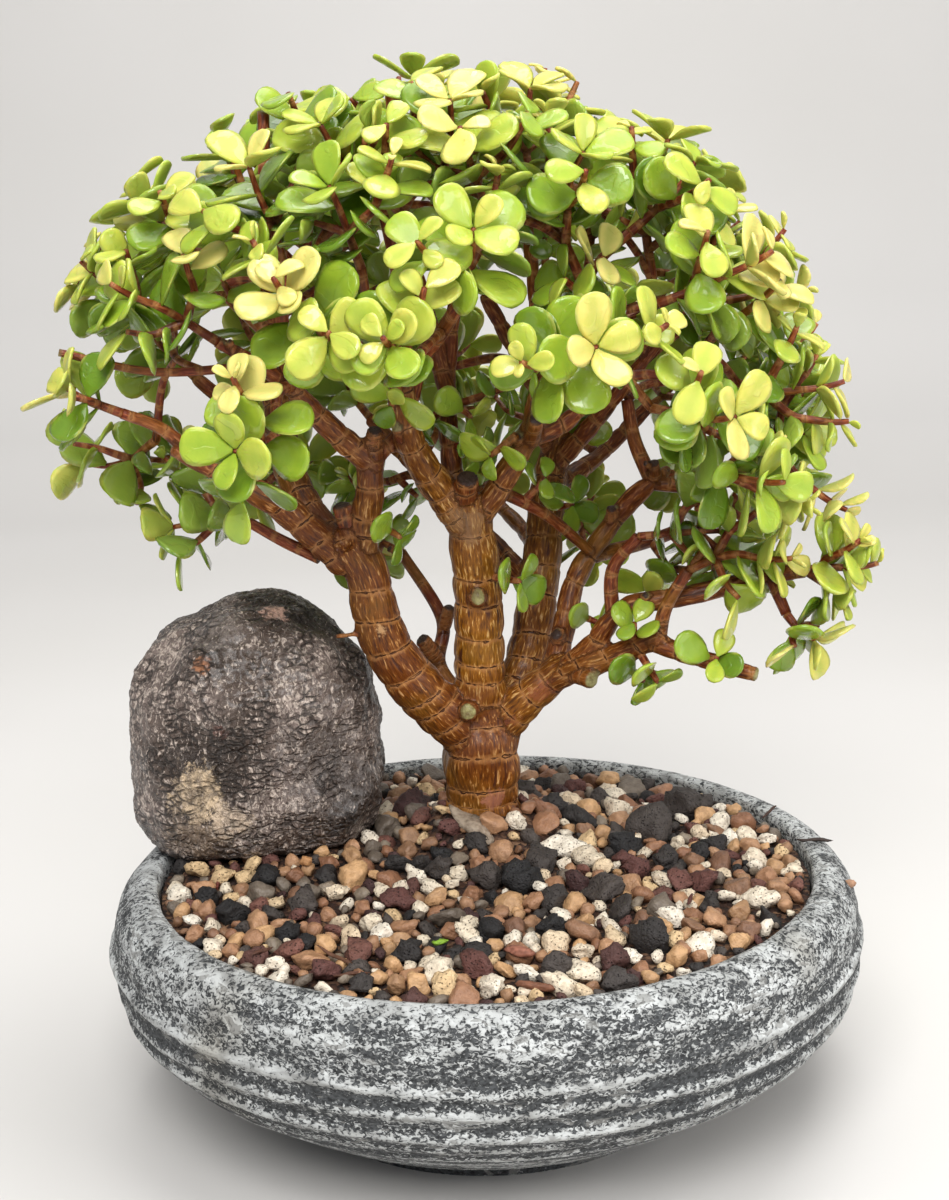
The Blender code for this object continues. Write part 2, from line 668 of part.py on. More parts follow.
def spray_mesh(spray):
    """One closed mesh: the square stems, with each leaf and side shoot drawn out of a side of its node."""
    points, faces = [], []

    def number_of(ring):
        points.extend(ring)
        return list(range(len(points) - len(ring), len(points)))

    def build(below, nodes):
        for node in nodes:
            low, high = number_of(node["low"]), number_of(node["high"])
            for face in range(4):
                after = (face + 1) % 4
                faces.append((below[face], below[after], low[after], low[face]))
                corners = (low[face], low[after], high[after], high[face])
                if node["shoots"].get(face):
                    build(corners, node["shoots"][face])
                elif face in node["leaves"]:
                    build_leaf(corners, number_of(node["leaves"][face]))
                else:
                    faces.append(corners)
            below = high
        faces.append(tuple(below))

    def build_leaf(corners, leaf):
        *rim, upper, lower = leaf
        low_right, low_left, high_left, high_right = corners
        round_top = [high_right, *rim, high_left]
        round_bottom = [low_left, *rim[::-1], low_right]
        for start, end in zip(round_top, round_top[1:] + round_top[:1]):
            faces.append((upper, start, end))
        for start, end in zip(round_bottom, round_bottom[1:] + round_bottom[:1]):
            faces.append((lower, start, end))
        faces.append((low_right, rim[0], high_right))
        faces.append((low_left, high_left, rim[-1]))

    base = number_of(spray["base"])
    faces.append(tuple(base[::-1]))
    build(base, spray["nodes"])
    return points, faces


def grow_sprays(tubes, seats, stone_points):
    """Every spray's stems first, then every leaf, each in the room that is left to it."""
    draw = random.Random(GROWTH_SEED)
    room = Room()
    for path, radii, sides in tubes:
        rings = rings_along(path, radii, sides)
        for start, end, low, high in zip(path, path[1:], rings, rings[1:]):
            room.add(low + high, (end - start).normalized())
    room.add(stone_points, Vector((0, 0, 1)))
    sprays = [grow_spray(room, draw, seat, way, ()) for seat, way in seats]
    sprays = [spray for spray in sprays if spray]
    for spray in sprays:
        leader = spray["nodes"]
        add_leaves(room, draw, leader, LEADER_LEAF, True)
        for shoot in leader[0]["shoots"].values():
            add_leaves(room, draw, shoot, SIDE_LEAF, False)
    return sprays


def make_sprays(sprays):
    greens = [(0.35, 0.5, 0.06), (0.26, 0.42, 0.05), (0.45, 0.58, 0.1)]
    finishes = [material(f"leaf green {index + 1}", green, 0.35) for index, green in enumerate(greens)]
    for index, spray in enumerate(sprays):
        points, faces = spray_mesh(spray)
        mesh_object(f"spray_{index + 1:02d}", points, faces, finishes[index % len(finishes)])


clear_scene()
make_bowl()
make_drain_screens()
STONE = stone_shape()
make_stone(*STONE)
make_soil(*STONE)
LIMB_TUBES = limb_tubes()
TWIG_TUBES, SEATS = spread_seats(LIMB_TUBES, list(LIMBS))
WOOD_TUBES = LIMB_TUBES + TWIG_TUBES + [stub_tube(*stub) for stub in CUT_STUBS]
make_wood(WOOD_TUBES)
make_sprays(grow_sprays(WOOD_TUBES, SEATS, STONE[0]))
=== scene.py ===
"""The looks of a potted variegated dwarf jade tree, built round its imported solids.

The sections follow the tree as it is potted: bowl, drain screens, gravel, stone, wood, leaves. Sizes are in
millimetres in the solids' frame and become metres in each mesh. +Z is up and -Y is the front.
"""

import itertools
import json
import math
import random

import bmesh
import bpy
import numpy as np
from mathutils import Matrix, Vector, noise
from mathutils.bvhtree import BVHTree

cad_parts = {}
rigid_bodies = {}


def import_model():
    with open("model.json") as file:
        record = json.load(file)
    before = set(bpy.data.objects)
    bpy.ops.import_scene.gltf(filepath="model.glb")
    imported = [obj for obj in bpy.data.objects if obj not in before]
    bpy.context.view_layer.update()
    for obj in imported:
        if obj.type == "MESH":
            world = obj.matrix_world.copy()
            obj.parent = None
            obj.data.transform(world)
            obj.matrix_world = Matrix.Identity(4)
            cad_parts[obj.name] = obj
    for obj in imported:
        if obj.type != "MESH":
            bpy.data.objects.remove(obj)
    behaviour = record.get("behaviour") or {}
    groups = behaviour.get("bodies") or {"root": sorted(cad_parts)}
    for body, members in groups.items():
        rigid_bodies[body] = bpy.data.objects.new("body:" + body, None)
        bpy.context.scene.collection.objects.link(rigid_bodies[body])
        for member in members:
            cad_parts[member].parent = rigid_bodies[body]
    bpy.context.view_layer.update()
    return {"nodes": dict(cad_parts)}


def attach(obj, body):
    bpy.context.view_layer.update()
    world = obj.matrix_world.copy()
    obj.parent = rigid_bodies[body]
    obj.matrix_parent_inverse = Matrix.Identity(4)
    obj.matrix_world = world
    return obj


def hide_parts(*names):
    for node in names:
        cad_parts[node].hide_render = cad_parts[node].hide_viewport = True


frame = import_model()

# Camera
# It stands where the photograph was taken from: half a metre in front of the tree, at the height of its
# crown, looking a little down, with a slight roll. Large grains are placed through it, by their pixel.
MM = 0.001
PHOTO_MIDDLE = (474.5, 600)
PHOTO_HEIGHT = 1200
FOCAL_PIXELS = 1893
SENSOR_HEIGHT = 36
EYE = Vector((-1.0, -513.4, 264.3))
PITCH = math.radians(-13.2)
ROLL = math.radians(-1.5)


def placed(name, data):
    """A new object of the scene, at the origin."""
    made = bpy.data.objects.new(name, data)
    bpy.context.scene.collection.objects.link(made)
    return made


view_turn = Matrix.Rotation(math.pi / 2 + PITCH, 3, "X") @ Matrix.Rotation(ROLL, 3, "Z")
lens = bpy.data.cameras.new("camera")
lens.sensor_fit = "VERTICAL"
lens.sensor_height = SENSOR_HEIGHT
lens.lens = SENSOR_HEIGHT * FOCAL_PIXELS / PHOTO_HEIGHT
lens.clip_start = 0.01
camera = placed("camera", lens)
camera.matrix_world = Matrix.Translation(EYE * MM) @ view_turn.to_4x4()
bpy.context.scene.camera = camera


def sight_line(across, down):
    """The direction in which the camera sees a pixel of the photograph."""
    x = (across - PHOTO_MIDDLE[0]) / FOCAL_PIXELS
    y = (PHOTO_MIDDLE[1] - down) / FOCAL_PIXELS
    return (view_turn @ Vector((x, y, -1))).normalized()


def seen_at_height(across, down, height):
    """The point at a height that the camera sees at a pixel of the photograph."""
    line = sight_line(across, down)
    return EYE + line * ((height - EYE.z) / line.z)


def pixel_of(point):
    """The pixel of the photograph at which the camera sees a point."""
    seen = view_turn.transposed() @ (point - EYE)
    across = PHOTO_MIDDLE[0] - FOCAL_PIXELS * seen.x / seen.z
    down = PHOTO_MIDDLE[1] + FOCAL_PIXELS * seen.y / seen.z
    return across, down


# Bowl
# A shallow round bowl of cast cement, charcoal under a dry-brushed white. Ridges are run round it by hand,
# pale on their crests and dark in their grooves. It stands on a plain foot with two drain holes.
RIM_HEIGHT = 67
FOOT_RADIUS = 58
FLOOR_THICKNESS = 9
BOWL_BODY = [(62, 4.5), (74, 11), (86, 19), (97, 27), (104, 35), (106.5, 46), (105.5, 57), (103, 63)]
BOWL_LIP = [(100.8, 65.3), (98.2, 66.6), (95.6, RIM_HEIGHT), (93.6, 66.4), (93, 65.2)]
BOWL_INSIDE = [(92, 45), (84, 24), (68, 12), (62, FLOOR_THICKNESS)]
# The height of each ridge and how far it stands out.
RIDGES = [
    (11, 0.8), (16, 0.8), (20.5, 0.9), (25.5, 1.0), (30, 0.9),
    (36, 1.1), (42.5, 1.1), (49.5, 1.2), (60, 0.5),
]
RIDGE_HALF_WIDTH = 1.7
RIDGE_STEEPNESS = 1.3
GROOVE_DEPTH = 0.55
GROOVES_TOP = 54
GROOVES_BOTTOM = 6
BOWL_STEP = 0.45
BOWL_SIDES = 420
DRAIN_RADIUS = 5.5
DRAIN_OFFSET = 30
DRAIN_SIDES = 24
SCREEN_GAMMA = 2.2


def paint(red, green, blue):
    """A colour given as it is seen on a screen, 0 to 255."""
    return (*[(c / 255) ** SCREEN_GAMMA for c in (red, green, blue)], 1)


def wire(tree, kind, inputs, out=None, **settings):
    """Adds a node to a tree, links or fills its inputs, and returns one of its outputs."""
    node = tree.nodes.new(kind)
    for name, value in settings.items():
        setattr(node, name, value)
    shown = [socket for socket in node.inputs if socket.enabled]
    for name, value in inputs.items():
        socket = shown[name] if isinstance(name, int) else next(s for s in shown if s.name == name)
        if isinstance(value, bpy.types.NodeSocket):
            tree.links.new(value, socket)
        else:
            socket.default_value = value
    return next(s for s in node.outputs if s.enabled and out in (None, s.name))


def ramp(tree, value, stops):
    """The colour at a value, between the stops (position, colour as seen or four linear parts)."""
    node = tree.nodes.new("ShaderNodeValToRGB")
    tree.links.new(value, node.inputs[0])
    elements = node.color_ramp.elements
    while len(elements) < len(stops):
        elements.new(1)
    for element, (place, colour) in zip(elements, stops):
        element.position = place
        element.color = paint(*colour) if len(colour) == 3 else colour
    return node.outputs[0]


def mixed(tree, share, below, above, blend="MIX"):
    """The first colour with a share of the second over it."""
    inputs = {"Factor": share, "A": below, "B": above}
    return wire(tree, "ShaderNodeMix", inputs, data_type="RGBA", blend_type=blend)


def maths(tree, operation, *values):
    return wire(tree, "ShaderNodeMath", dict(enumerate(values)), operation=operation)


def clouds(tree, vector, scale, detail=2.0, roughness=0.5, distortion=0.0, out=None):
    """Soft noise over a vector, about 0.5 on the whole."""
    inputs = {"Vector": vector, "Scale": scale, "Detail": detail, "Roughness": roughness}
    return wire(tree, "ShaderNodeTexNoise", {**inputs, "Distortion": distortion}, out)


def spanned(tree, value, low, high, least=0.0, most=1.0, **settings):
    """A value stretched from one span to another and held inside it."""
    inputs = {"Value": value, "From Min": low, "From Max": high, "To Min": least, "To Max": most}
    return wire(tree, "ShaderNodeMapRange", inputs, **settings)


def sums(tree, start, *terms):
    """A value plus each term (value, weight)."""
    for value, weight in terms:
        start = maths(tree, "MULTIPLY_ADD", value, weight, start)
    return start


def stretched(tree, vector, scale):
    return wire(tree, "ShaderNodeMapping", {"Vector": vector, "Scale": scale})


def attribute(tree, name, out="Fac"):
    return wire(tree, "ShaderNodeAttribute", {}, out, attribute_name=name)


def bumped(tree, height, distance, strength=1.0, normal=None):
    inputs = {"Height": height, "Distance": distance * MM, "Strength": strength}
    if normal:
        inputs["Normal"] = normal
    return wire(tree, "ShaderNodeBump", inputs)


def new_finish(name, **plain):
    """A material, its node tree and its Object coordinates. The plain values go on the shader's sockets."""
    made = bpy.data.materials.new(name)
    made.use_nodes = True
    tree = made.node_tree
    for socket, value in plain.items():
        tree.nodes["Principled BSDF"].inputs[socket.replace("_", " ")].default_value = value
    return made, tree, wire(tree, "ShaderNodeTexCoord", {}, "Object")


def dressed(made, **looks):
    """The material with each value linked to the shader's socket of that name."""
    for socket, value in looks.items():
        shader = made.node_tree.nodes["Principled BSDF"]
        made.node_tree.links.new(value, shader.inputs[socket.replace("_", " ")])
    return made


def new_group(name, takes):
    """An empty shader group that takes a vector and some numbers and gives a mask and a height."""
    group = bpy.data.node_groups.new(name, "ShaderNodeTree")
    group.interface.new_socket("Vector", in_out="INPUT", socket_type="NodeSocketVector")
    for socket, default in takes.items():
        made = group.interface.new_socket(socket, in_out="INPUT", socket_type="NodeSocketFloat")
        made.default_value = default
    for socket in ("Mask", "Height"):
        group.interface.new_socket(socket, in_out="OUTPUT", socket_type="NodeSocketFloat")
    return group, group.nodes.new("NodeGroupInput").outputs, group.nodes.new("NodeGroupOutput").inputs


def speckle_group():
    """Worm-like grains of two tones, as paint leaves when it is brushed dry over a rough casting."""
    group, given, result = new_group("speckle", {"Scale": 500.0, "Balance": 0.5, "Softness": 0.05})
    grains = clouds(group, given["Vector"], given["Scale"], 3.0, roughness=0.62, distortion=0.9)
    low = maths(group, "SUBTRACT", given["Balance"], given["Softness"])
    high = maths(group, "ADD", given["Balance"], given["Softness"])
    group.links.new(spanned(group, grains, low, high), result["Mask"])
    group.links.new(grains, result["Height"])
    return group


def bent_by(tree, vector, bend, reach):
    """A vector moved by a colour noise, up to a reach in metres."""
    inputs = {0: bend, 1: (reach,) * 3, 2: vector}
    return wire(tree, "ShaderNodeVectorMath", inputs, operation="MULTIPLY_ADD")


def pore_group():
    """Round pits of uneven size: how deep the surface lies, and where the pits are."""
    group, given, result = new_group("pores", {"Scale": 900.0, "Width": 0.3})
    warp = clouds(group, given["Vector"], 300.0, out="Color")
    bent = bent_by(group, given["Vector"], warp, 0.0012)
    cells = wire(group, "ShaderNodeTexVoronoi", {"Vector": bent, "Scale": given["Scale"]}, "Distance")
    height = spanned(group, cells, 0.0, given["Width"], interpolation_type="SMOOTHSTEP")
    group.links.new(maths(group, "SUBTRACT", 1.0, height), result["Mask"])
    group.links.new(height, result["Height"])
    return group


speckle = speckle_group()
pores = pore_group()


def grouped(tree, group, inputs, out):
    return wire(tree, "ShaderNodeGroup", inputs, out, node_tree=group)


def add_values(mesh, name, values):
    """Keeps a number or a vector for each point of the mesh."""
    kind, key = ("FLOAT_VECTOR", "vector") if values.ndim == 2 else ("FLOAT", "value")
    mesh.attributes.new(name, kind, "POINT").data.foreach_set(key, values.astype(np.float32).ravel())


def mesh_piece(name, points, faces, finish, values=None):
    """A smooth mesh from points in millimetres, with a number kept for each point under each name."""
    mesh = bpy.data.meshes.new(name)
    mesh.from_pydata([tuple(c * MM for c in point) for point in points], [], faces)
    for key, numbers in (values or {}).items():
        add_values(mesh, key, np.array(numbers))
    mesh.shade_smooth()
    if finish:
        mesh.materials.append(finish)
    return placed(name, mesh)


def tube_faces(ring_count, sides):
    """The faces of a closed stack of rings, with a flat end at the bottom and the top."""
    last = (ring_count - 1) * sides
    faces = [tuple(range(sides))[::-1], tuple(range(last, last + sides))]
    for start in range(0, last, sides):
        for side in range(sides):
            after = (side + 1) % sides
            faces.append((start + side, start + after, start + sides + after, start + sides + side))
    return faces


def bowl_profile():
    """(radius, height, crest) from the foot up the outside and down the inside; crest is 1 on a ridge."""
    rows = [(FOOT_RADIUS, 0, 0), (FOOT_RADIUS + 0.6, 0.8, -1), (FOOT_RADIUS + 0.3, 3.9, -1)]
    for height in np.arange(BOWL_BODY[0][1], BOWL_BODY[-1][1], BOWL_STEP):
        radius = np.interp(height, [z for _, z in BOWL_BODY], [r for r, _ in BOWL_BODY])
        rows.append((radius, height, None))
    rows += [(r, z, 0.6) for r, z in BOWL_LIP]
    inside = [BOWL_LIP[-1], *BOWL_INSIDE]
    for (r0, z0), (r1, z1) in zip(inside, inside[1:]):
        steps = max(1, round(abs(z1 - z0) / 4))
        rows += [(r0 + (r1 - r0) * s / steps, z0 + (z1 - z0) * s / steps, 0) for s in range(1, steps + 1)]
    return rows


def ridge_relief(angle, height):
    """How far the hand-run ridges stand out at a place on the bowl, in millimetres."""
    way = Vector((math.cos(angle), math.sin(angle), 0))
    below_top = min(1, max(0, (GROOVES_TOP - height) / 6))
    relief = -GROOVE_DEPTH * below_top * min(1, max(0, (height - GROOVES_BOTTOM) / 5))
    for number, (level, depth) in enumerate(RIDGES):
        wander = 1.6 * noise.noise(way * 1.3 + Vector((0, 0, number * 3.7)))
        wander += 0.5 * noise.noise(way * 6 + Vector((0, 0, number * 5.1)))
        uneven = 0.8 + 0.5 * noise.noise(way * 2.2 + Vector((0, 5, number * 1.9)))
        off = (height - level - wander) / RIDGE_HALF_WIDTH
        relief += RIDGE_STEEPNESS * depth * uneven * math.exp(-off * off)
    return relief


def build_bowl(finish):
    """The bowl as one closed skin of rings, with its ridges and the roughness of its casting."""
    points, crests = [], []
    profile = bowl_profile()
    for radius, height, crest in profile:
        for side in range(BOWL_SIDES):
            angle = 2 * math.pi * side / BOWL_SIDES
            out = Vector((math.cos(angle), math.sin(angle), 0))
            place = Vector((math.cos(angle) * radius, math.sin(angle) * radius, height))
            relief = ridge_relief(angle, height) if crest is None else 0
            rough = 0.25 * noise.noise(place * 0.12) + 0.14 * noise.noise(place * 0.45)
            if height > 0 and radius >= BOWL_LIP[-1][0]:
                place += out * (relief + rough)
            points.append(place)
            crests.append(relief if crest is None else crest)
    bowl = mesh_piece("bowl_body", points, tube_faces(len(profile), BOWL_SIDES), finish, {"crest": crests})
    bowl.data.set_sharp_from_angle(angle=math.radians(50))
    cut_drains(bowl)
    return bowl


def cut_drains(bowl):
    """Cuts the two drain holes through the floor, then removes the cutter."""
    points = []
    for side in (-1, 1):
        for height in (-3, FLOOR_THICKNESS + 3):
            for turn in np.linspace(0, 2 * math.pi, DRAIN_SIDES + 1)[:-1]:
                across = side * DRAIN_OFFSET + DRAIN_RADIUS * math.cos(turn)
                points.append(Vector((across, DRAIN_RADIUS * math.sin(turn), height)))
    hole = tube_faces(2, DRAIN_SIDES)
    faces = hole + [tuple(corner + 2 * DRAIN_SIDES for corner in face) for face in hole]
    cutter = mesh_piece("drains", points, faces, bowl.data.materials[0])
    cut = bowl.modifiers.new("drains", "BOOLEAN")
    cut.operation = "DIFFERENCE"
    cut.object = cutter
    cut.solver = "EXACT"
    settle(bowl)
    bpy.data.objects.remove(cutter)


def settle(piece):
    """Applies the piece's modifiers to its mesh."""
    seen = bpy.context.evaluated_depsgraph_get()
    result = bpy.data.meshes.new_from_object(piece.evaluated_get(seen))
    piece.modifiers.clear()
    piece.data = result


def cement_finish():
    """Charcoal cement under worn white paint, with warm stains and a few smooth rubbed places."""
    made, tree, place = new_finish("cement", Roughness=0.85)
    crest = attribute(tree, "crest")
    banded = stretched(tree, place, (1, 1, 2.4))
    fine = stretched(tree, place, (1, 1, 1.5))
    broad = clouds(tree, banded, 38.0, 3.0)
    blots = clouds(tree, banded, 120.0, 3.0, distortion=0.6)
    balance = sums(tree, 0.82, (broad, -0.26), (blots, -0.30), (crest, -0.15))
    brushing = {"Vector": fine, "Scale": 760.0}
    pale = grouped(tree, speckle, {**brushing, "Balance": balance, "Softness": 0.05}, "Mask")
    grains = grouped(tree, speckle, brushing, "Height")
    dark = clouds(tree, fine, 900.0)
    under = ramp(tree, dark, [(0.35, (34, 35, 36)), (0.65, (76, 78, 79))])
    over = ramp(tree, blots, [(0.3, (134, 134, 131)), (0.62, (198, 200, 198))])
    rubbed = clouds(tree, banded, 120.0, 4.0, distortion=0.8)
    smooth = spanned(tree, rubbed, 0.6, 0.64, most=0.7)
    colour = mixed(tree, smooth, mixed(tree, pale, under, over), paint(124, 123, 119))
    stain = spanned(tree, clouds(tree, place, 22.0), 0.62, 0.75, most=0.5)
    pits = grouped(tree, pores, {"Vector": place, "Scale": 260.0, "Width": 0.22}, "Height")
    relief = sums(tree, 0.0, (grains, 1.0), (pits, 0.35), (pale, 0.3))
    stained = mixed(tree, stain, colour, paint(172, 160, 138), "MULTIPLY")
    return dressed(made, Base_Color=stained, Normal=bumped(tree, relief, 0.5, 0.9))


bowl = build_bowl(cement_finish())
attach(bowl, "root")
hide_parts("bowl")

# Drain screens
# Two squares of black plastic mesh lie over the drain holes and keep the gravel in. Their solids stay, in a
# moulded plastic with a faint grain.


def screen_finish():
    made, tree, place = new_finish("moulded_screen", Roughness=0.5)
    grain = clouds(tree, place, 1500.0)
    colour = ramp(tree, grain, [(0.3, (18, 18, 19)), (0.7, (34, 34, 36))])
    return dressed(made, Base_Color=colour, Normal=bumped(tree, grain, 0.05))


screen_plastic = screen_finish()
for name in ("drain_screen_left", "drain_screen_right"):
    for held in frame["nodes"][name].material_slots:
        held.material = screen_plastic

# Stone
# A worn block of dark volcanic rock, damp and finely pitted, with a pale crust of lime low on its left.
# It rests on the gravel and leans over the rim at the back left.
STONE_CENTRE = Vector((-67, 27, 101))
STONE_HALF_SIZE = Vector((38, 32, 39))
STONE_BASE_HEIGHT = 67.5
STONE_SQUARENESS = 2.35
# Flatter sides worn on the stone: the way each faces and how far out it lies, as a share of the half size.
STONE_FACETS = [
    ((0.62, -0.3, 0.72), 0.94), ((-0.62, -0.42, 0.66), 0.98), ((0.66, -0.74, -0.1), 0.97),
    ((-0.4, -0.9, 0.1), 0.97), ((0.1, -0.75, 0.65), 0.98), ((-0.1, 0.8, 0.6), 1.0), ((0.7, 0.7, 0.1), 1.0),
    ((-0.75, 0.65, 0.1), 1.0), ((-0.86, 0, 0.5), 0.95), ((0.9, -0.1, 0.4), 0.97),
]
FACET_DEPTH = 0.8
STONE_SPREAD = 0.3
# The dents of the whole block and of its fine surface: how deep and how close together they are, and where in
# the noise they are read.
STONE_DENTS = [(0.09, 1.4, (3.1, 0.4, 7.7)), (0.035, 4.2, (8.0, 2.5, 1.3))]
FINE_DENTS = [(0.014, 11, (1.5, 6.0, 2.2)), (0.010, 27, (0.5, 1.0, 9.2))]
# Spots on the stone: their pixel in the photograph, radius, colour and cover. The first three are the crust.
# The dark one at (345, 820) is painted shadow low on the stone's right, over the gravel, and the pale one at
# (215, 630) is a painted sheen on its upper left.
STONE_SPOTS = [
    ((196, 796), 8, (224, 196, 160), 0.7), ((230, 824), 5.5, (214, 190, 164), 0.7),
    ((190, 838), 8, (160, 138, 116), 0.5), ((273, 612), 3.9, (206, 166, 146), 1.1),
    ((201, 663), 2.6, (166, 112, 78), 1.0), ((220, 733), 2.2, (112, 66, 56), 0.5),
    ((345, 820), 6, (38, 34, 33), 0.7), ((330, 765), 15, (146, 138, 134), 0.3),
    ((215, 630), 8, (168, 156, 148), 0.35),
]


def stone_point(way, is_fine=True):
    """A point of the stone's surface in a direction from its centre, with its dents and pits."""
    block = sum(abs(c) ** STONE_SQUARENESS for c in way) ** (-1 / STONE_SQUARENESS)
    dent = 1
    for depth, closeness, offset in STONE_DENTS + (FINE_DENTS if is_fine else []):
        dent += depth * noise.noise(way * closeness + Vector(offset))
    if is_fine:
        dent += 0.009 * (0.5 - abs(noise.noise(way * 42)))
    lean = 1 - 0.12 * abs(way.x) * max(0.0, way.z)
    point = way * block * dent * lean
    if is_fine:
        for facing, reach in STONE_FACETS:
            over = point.dot(Vector(facing)) - reach * dent
            point = point - Vector(facing) * max(0, over) * FACET_DEPTH
        spread = 1 + STONE_SPREAD * min(0, point.z) ** 2
        point = Vector((point.x * spread, point.y * spread, point.z))
    point = STONE_CENTRE + point * STONE_HALF_SIZE
    point.z = max(point.z, STONE_BASE_HEIGHT)
    return point


def round_ball(subdivisions):
    """The ways to the points of a round ball, and its faces."""
    ball = bmesh.new()
    bmesh.ops.create_icosphere(ball, subdivisions=subdivisions, radius=1)
    ways = [vert.co.normalized() for vert in ball.verts]
    faces = [tuple(vert.index for vert in face.verts) for face in ball.faces]
    ball.free()
    return ways, faces


def build_stone():
    ways, faces = round_ball(7)
    return mesh_piece("stone_block", [stone_point(way) for way in ways], faces, None)


def patch(tree, place, centre, radius, softness=0.15):
    """1 inside a ragged patch round a point given in millimetres, with crumbs of it around."""
    away = wire(tree, "ShaderNodeVectorMath", {0: place, 1: centre * MM}, "Value", operation="DISTANCE")
    edge = clouds(tree, place, 190.0, 8.0, roughness=0.8)
    reach = sums(tree, -2.2, (away, 1 / (radius * MM)), (edge, 4.4))
    return spanned(tree, reach, 1 + softness, 1 - softness)


def stone_finish():
    """Sugary dark rock with pale specks, veins, slanting creases and spots of crust and rust, with a painted
    shadow low on its right and a painted sheen on its upper left.
    """
    made, tree, place = new_finish("volcanic_rock", Coat_Weight=0.3, Coat_Roughness=0.22)
    leaning = stretched(tree, place, (1.5, 1.5, 0.9))
    broad = clouds(tree, place, 32.0, 4.0)
    balance = sums(tree, 0.80, (broad, -0.42))
    sugar = {"Vector": leaning, "Scale": 520.0, "Balance": balance, "Softness": 0.06}
    specks = grouped(tree, speckle, sugar, "Mask")
    grains = grouped(tree, speckle, sugar, "Height")
    body = ramp(tree, broad, [
        (0.32, (40, 30, 23)), (0.46, (78, 64, 55)), (0.66, (132, 116, 108)),
    ])
    speckled = mixed(tree, specks, body, paint(204, 186, 172))
    slant = {"Vector": place, "Rotation": (0, math.radians(35), 0), "Scale": (0.75, 0.75, 1.5)}
    slanted = wire(tree, "ShaderNodeMapping", slant)
    bent = bent_by(tree, slanted, clouds(tree, place, 130.0, 3.0, out="Color"), 0.006)
    cells = {"Vector": bent, "Scale": 300.0}
    scale_edge = wire(tree, "ShaderNodeTexVoronoi", cells, "Distance", feature="DISTANCE_TO_EDGE")
    torn = spanned(tree, clouds(tree, place, 95.0, 4.0), 0.42, 0.58, most=0.75)
    crease = maths(tree, "MULTIPLY", spanned(tree, scale_edge, 0.16, 0.02), torn)
    veins = clouds(tree, place, 60.0, distortion=1.4)
    off_vein = maths(tree, "ABSOLUTE", maths(tree, "SUBTRACT", veins, 0.5))
    shown = mixed(tree, spanned(tree, off_vein, 0.012, 0.0, most=0.4), speckled, paint(158, 146, 136))
    crumbs = spanned(tree, clouds(tree, place, 340.0, 4.0, roughness=0.7), 0.38, 0.58, 0.35, 1.25)
    # The spots are crust and rust, with one painted shadow and one painted sheen among them.
    for pixel, radius, colour, share in STONE_SPOTS:
        spot = stone_skin.ray_cast(EYE * MM, sight_line(*pixel))[0] / MM
        cover = sums(tree, 0.0, (patch(tree, place, spot, radius), share))
        shown = mixed(tree, maths(tree, "MULTIPLY", cover, crumbs), shown, paint(*colour))
    shown = mixed(tree, crease, shown, paint(40, 32, 28))
    rough = spanned(tree, broad, 0.3, 0.7, 0.34, 0.62)
    pits = grouped(tree, pores, {"Vector": place, "Scale": 420.0, "Width": 0.35}, "Height")
    relief = sums(tree, 0.0, (grains, 1.0), (pits, 0.6), (veins, 0.3), (crease, -0.9))
    return dressed(made, Base_Color=shown, Roughness=rough, Normal=bumped(tree, relief, 1.8, 1.0))


stone = build_stone()
stone_corners = [vertex.co for vertex in stone.data.vertices]
stone_skin = BVHTree.FromPolygons(stone_corners, [tuple(face.vertices) for face in stone.data.polygons])
stone.data.materials.append(stone_finish())
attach(stone, "root")
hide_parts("stone")

# Gravel
# Pumice, fired clay, black and red lava and river grit, 2 to 12 mm across, over a bed of dark fines that
# holds the roots. The large grains lie where the photograph shows them and the rest fill the space between.
MOUTH_RADIUS = 92.2
STUMP_FOOT = Vector((0, 24))
STUMP_RADIUS = 10.8
SOIL_EDGE_HEIGHT = 64.4
MOUND_HEIGHT = 6
MOUND_SPREAD = 36
STONE_FOOT = Vector((-67, 25))
STONE_FOOT_RADIUS = 24
BANK_EDGE = 88
BED_RINGS = 60
BED_SIDES = 160
# The bed's outside under its top, from the gravel down to the floor: radius and height.
BED_UNDERSIDE = [(91.4, 45), (83.4, 24.5), (67.4, 12.5), (60, FLOOR_THICKNESS + 0.5)]
GRAIN_SEED = 7


def bank_height(x, y):
    """The height of the gravel: a low mound round the stump, with a bank against the stone."""
    from_stump = (Vector((x, y)) - STUMP_FOOT).length
    mound = MOUND_HEIGHT * math.exp(-((from_stump / MOUND_SPREAD) ** 2))
    from_stone = max(0, (Vector((x, y)) - STONE_FOOT).length - STONE_FOOT_RADIUS)
    banks = 3.2 * math.exp(-((from_stone / 9) ** 2)) + 7 * math.exp(-((from_stump / 20) ** 4))
    return SOIL_EDGE_HEIGHT + mound + banks * (math.hypot(x, y) < BANK_EDGE)


def build_bed(finish):
    """The fines: a disc with a rough top, closed underneath, that fills the bowl."""
    points = []
    rings = [(MOUTH_RADIUS * ring / BED_RINGS, None) for ring in range(1, BED_RINGS + 1)]
    for radius, height in rings + BED_UNDERSIDE:
        for side in range(BED_SIDES):
            angle = 2 * math.pi * side / BED_SIDES
            x, y = radius * math.cos(angle), radius * math.sin(angle)
            dip = -1.7 + 0.9 * noise.noise(Vector((x, y, 3)) * 0.55)
            points.append(Vector((x, y, bank_height(x, y) + dip if height is None else height)))
    faces = [tuple(face[::-1]) for face in tube_faces(len(rings) + len(BED_UNDERSIDE), BED_SIDES)]
    return mesh_piece("gravel_bed", points, faces, finish)


def bed_finish():
    made, tree, place = new_finish("dark_fines", Roughness=0.8)
    crumbs = {"Vector": place, "Scale": 620.0}
    cells = wire(tree, "ShaderNodeTexVoronoi", crumbs, "Color")
    colour = ramp(tree, cells, [(0.2, (34, 24, 20)), (0.6, (70, 46, 34)), (0.9, (120, 90, 66))])
    near = wire(tree, "ShaderNodeTexVoronoi", crumbs, "Distance")
    return dressed(made, Base_Color=colour, Normal=bumped(tree, near, -1.0))


bed = build_bed(bed_finish())
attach(bed, "root")
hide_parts("soil")

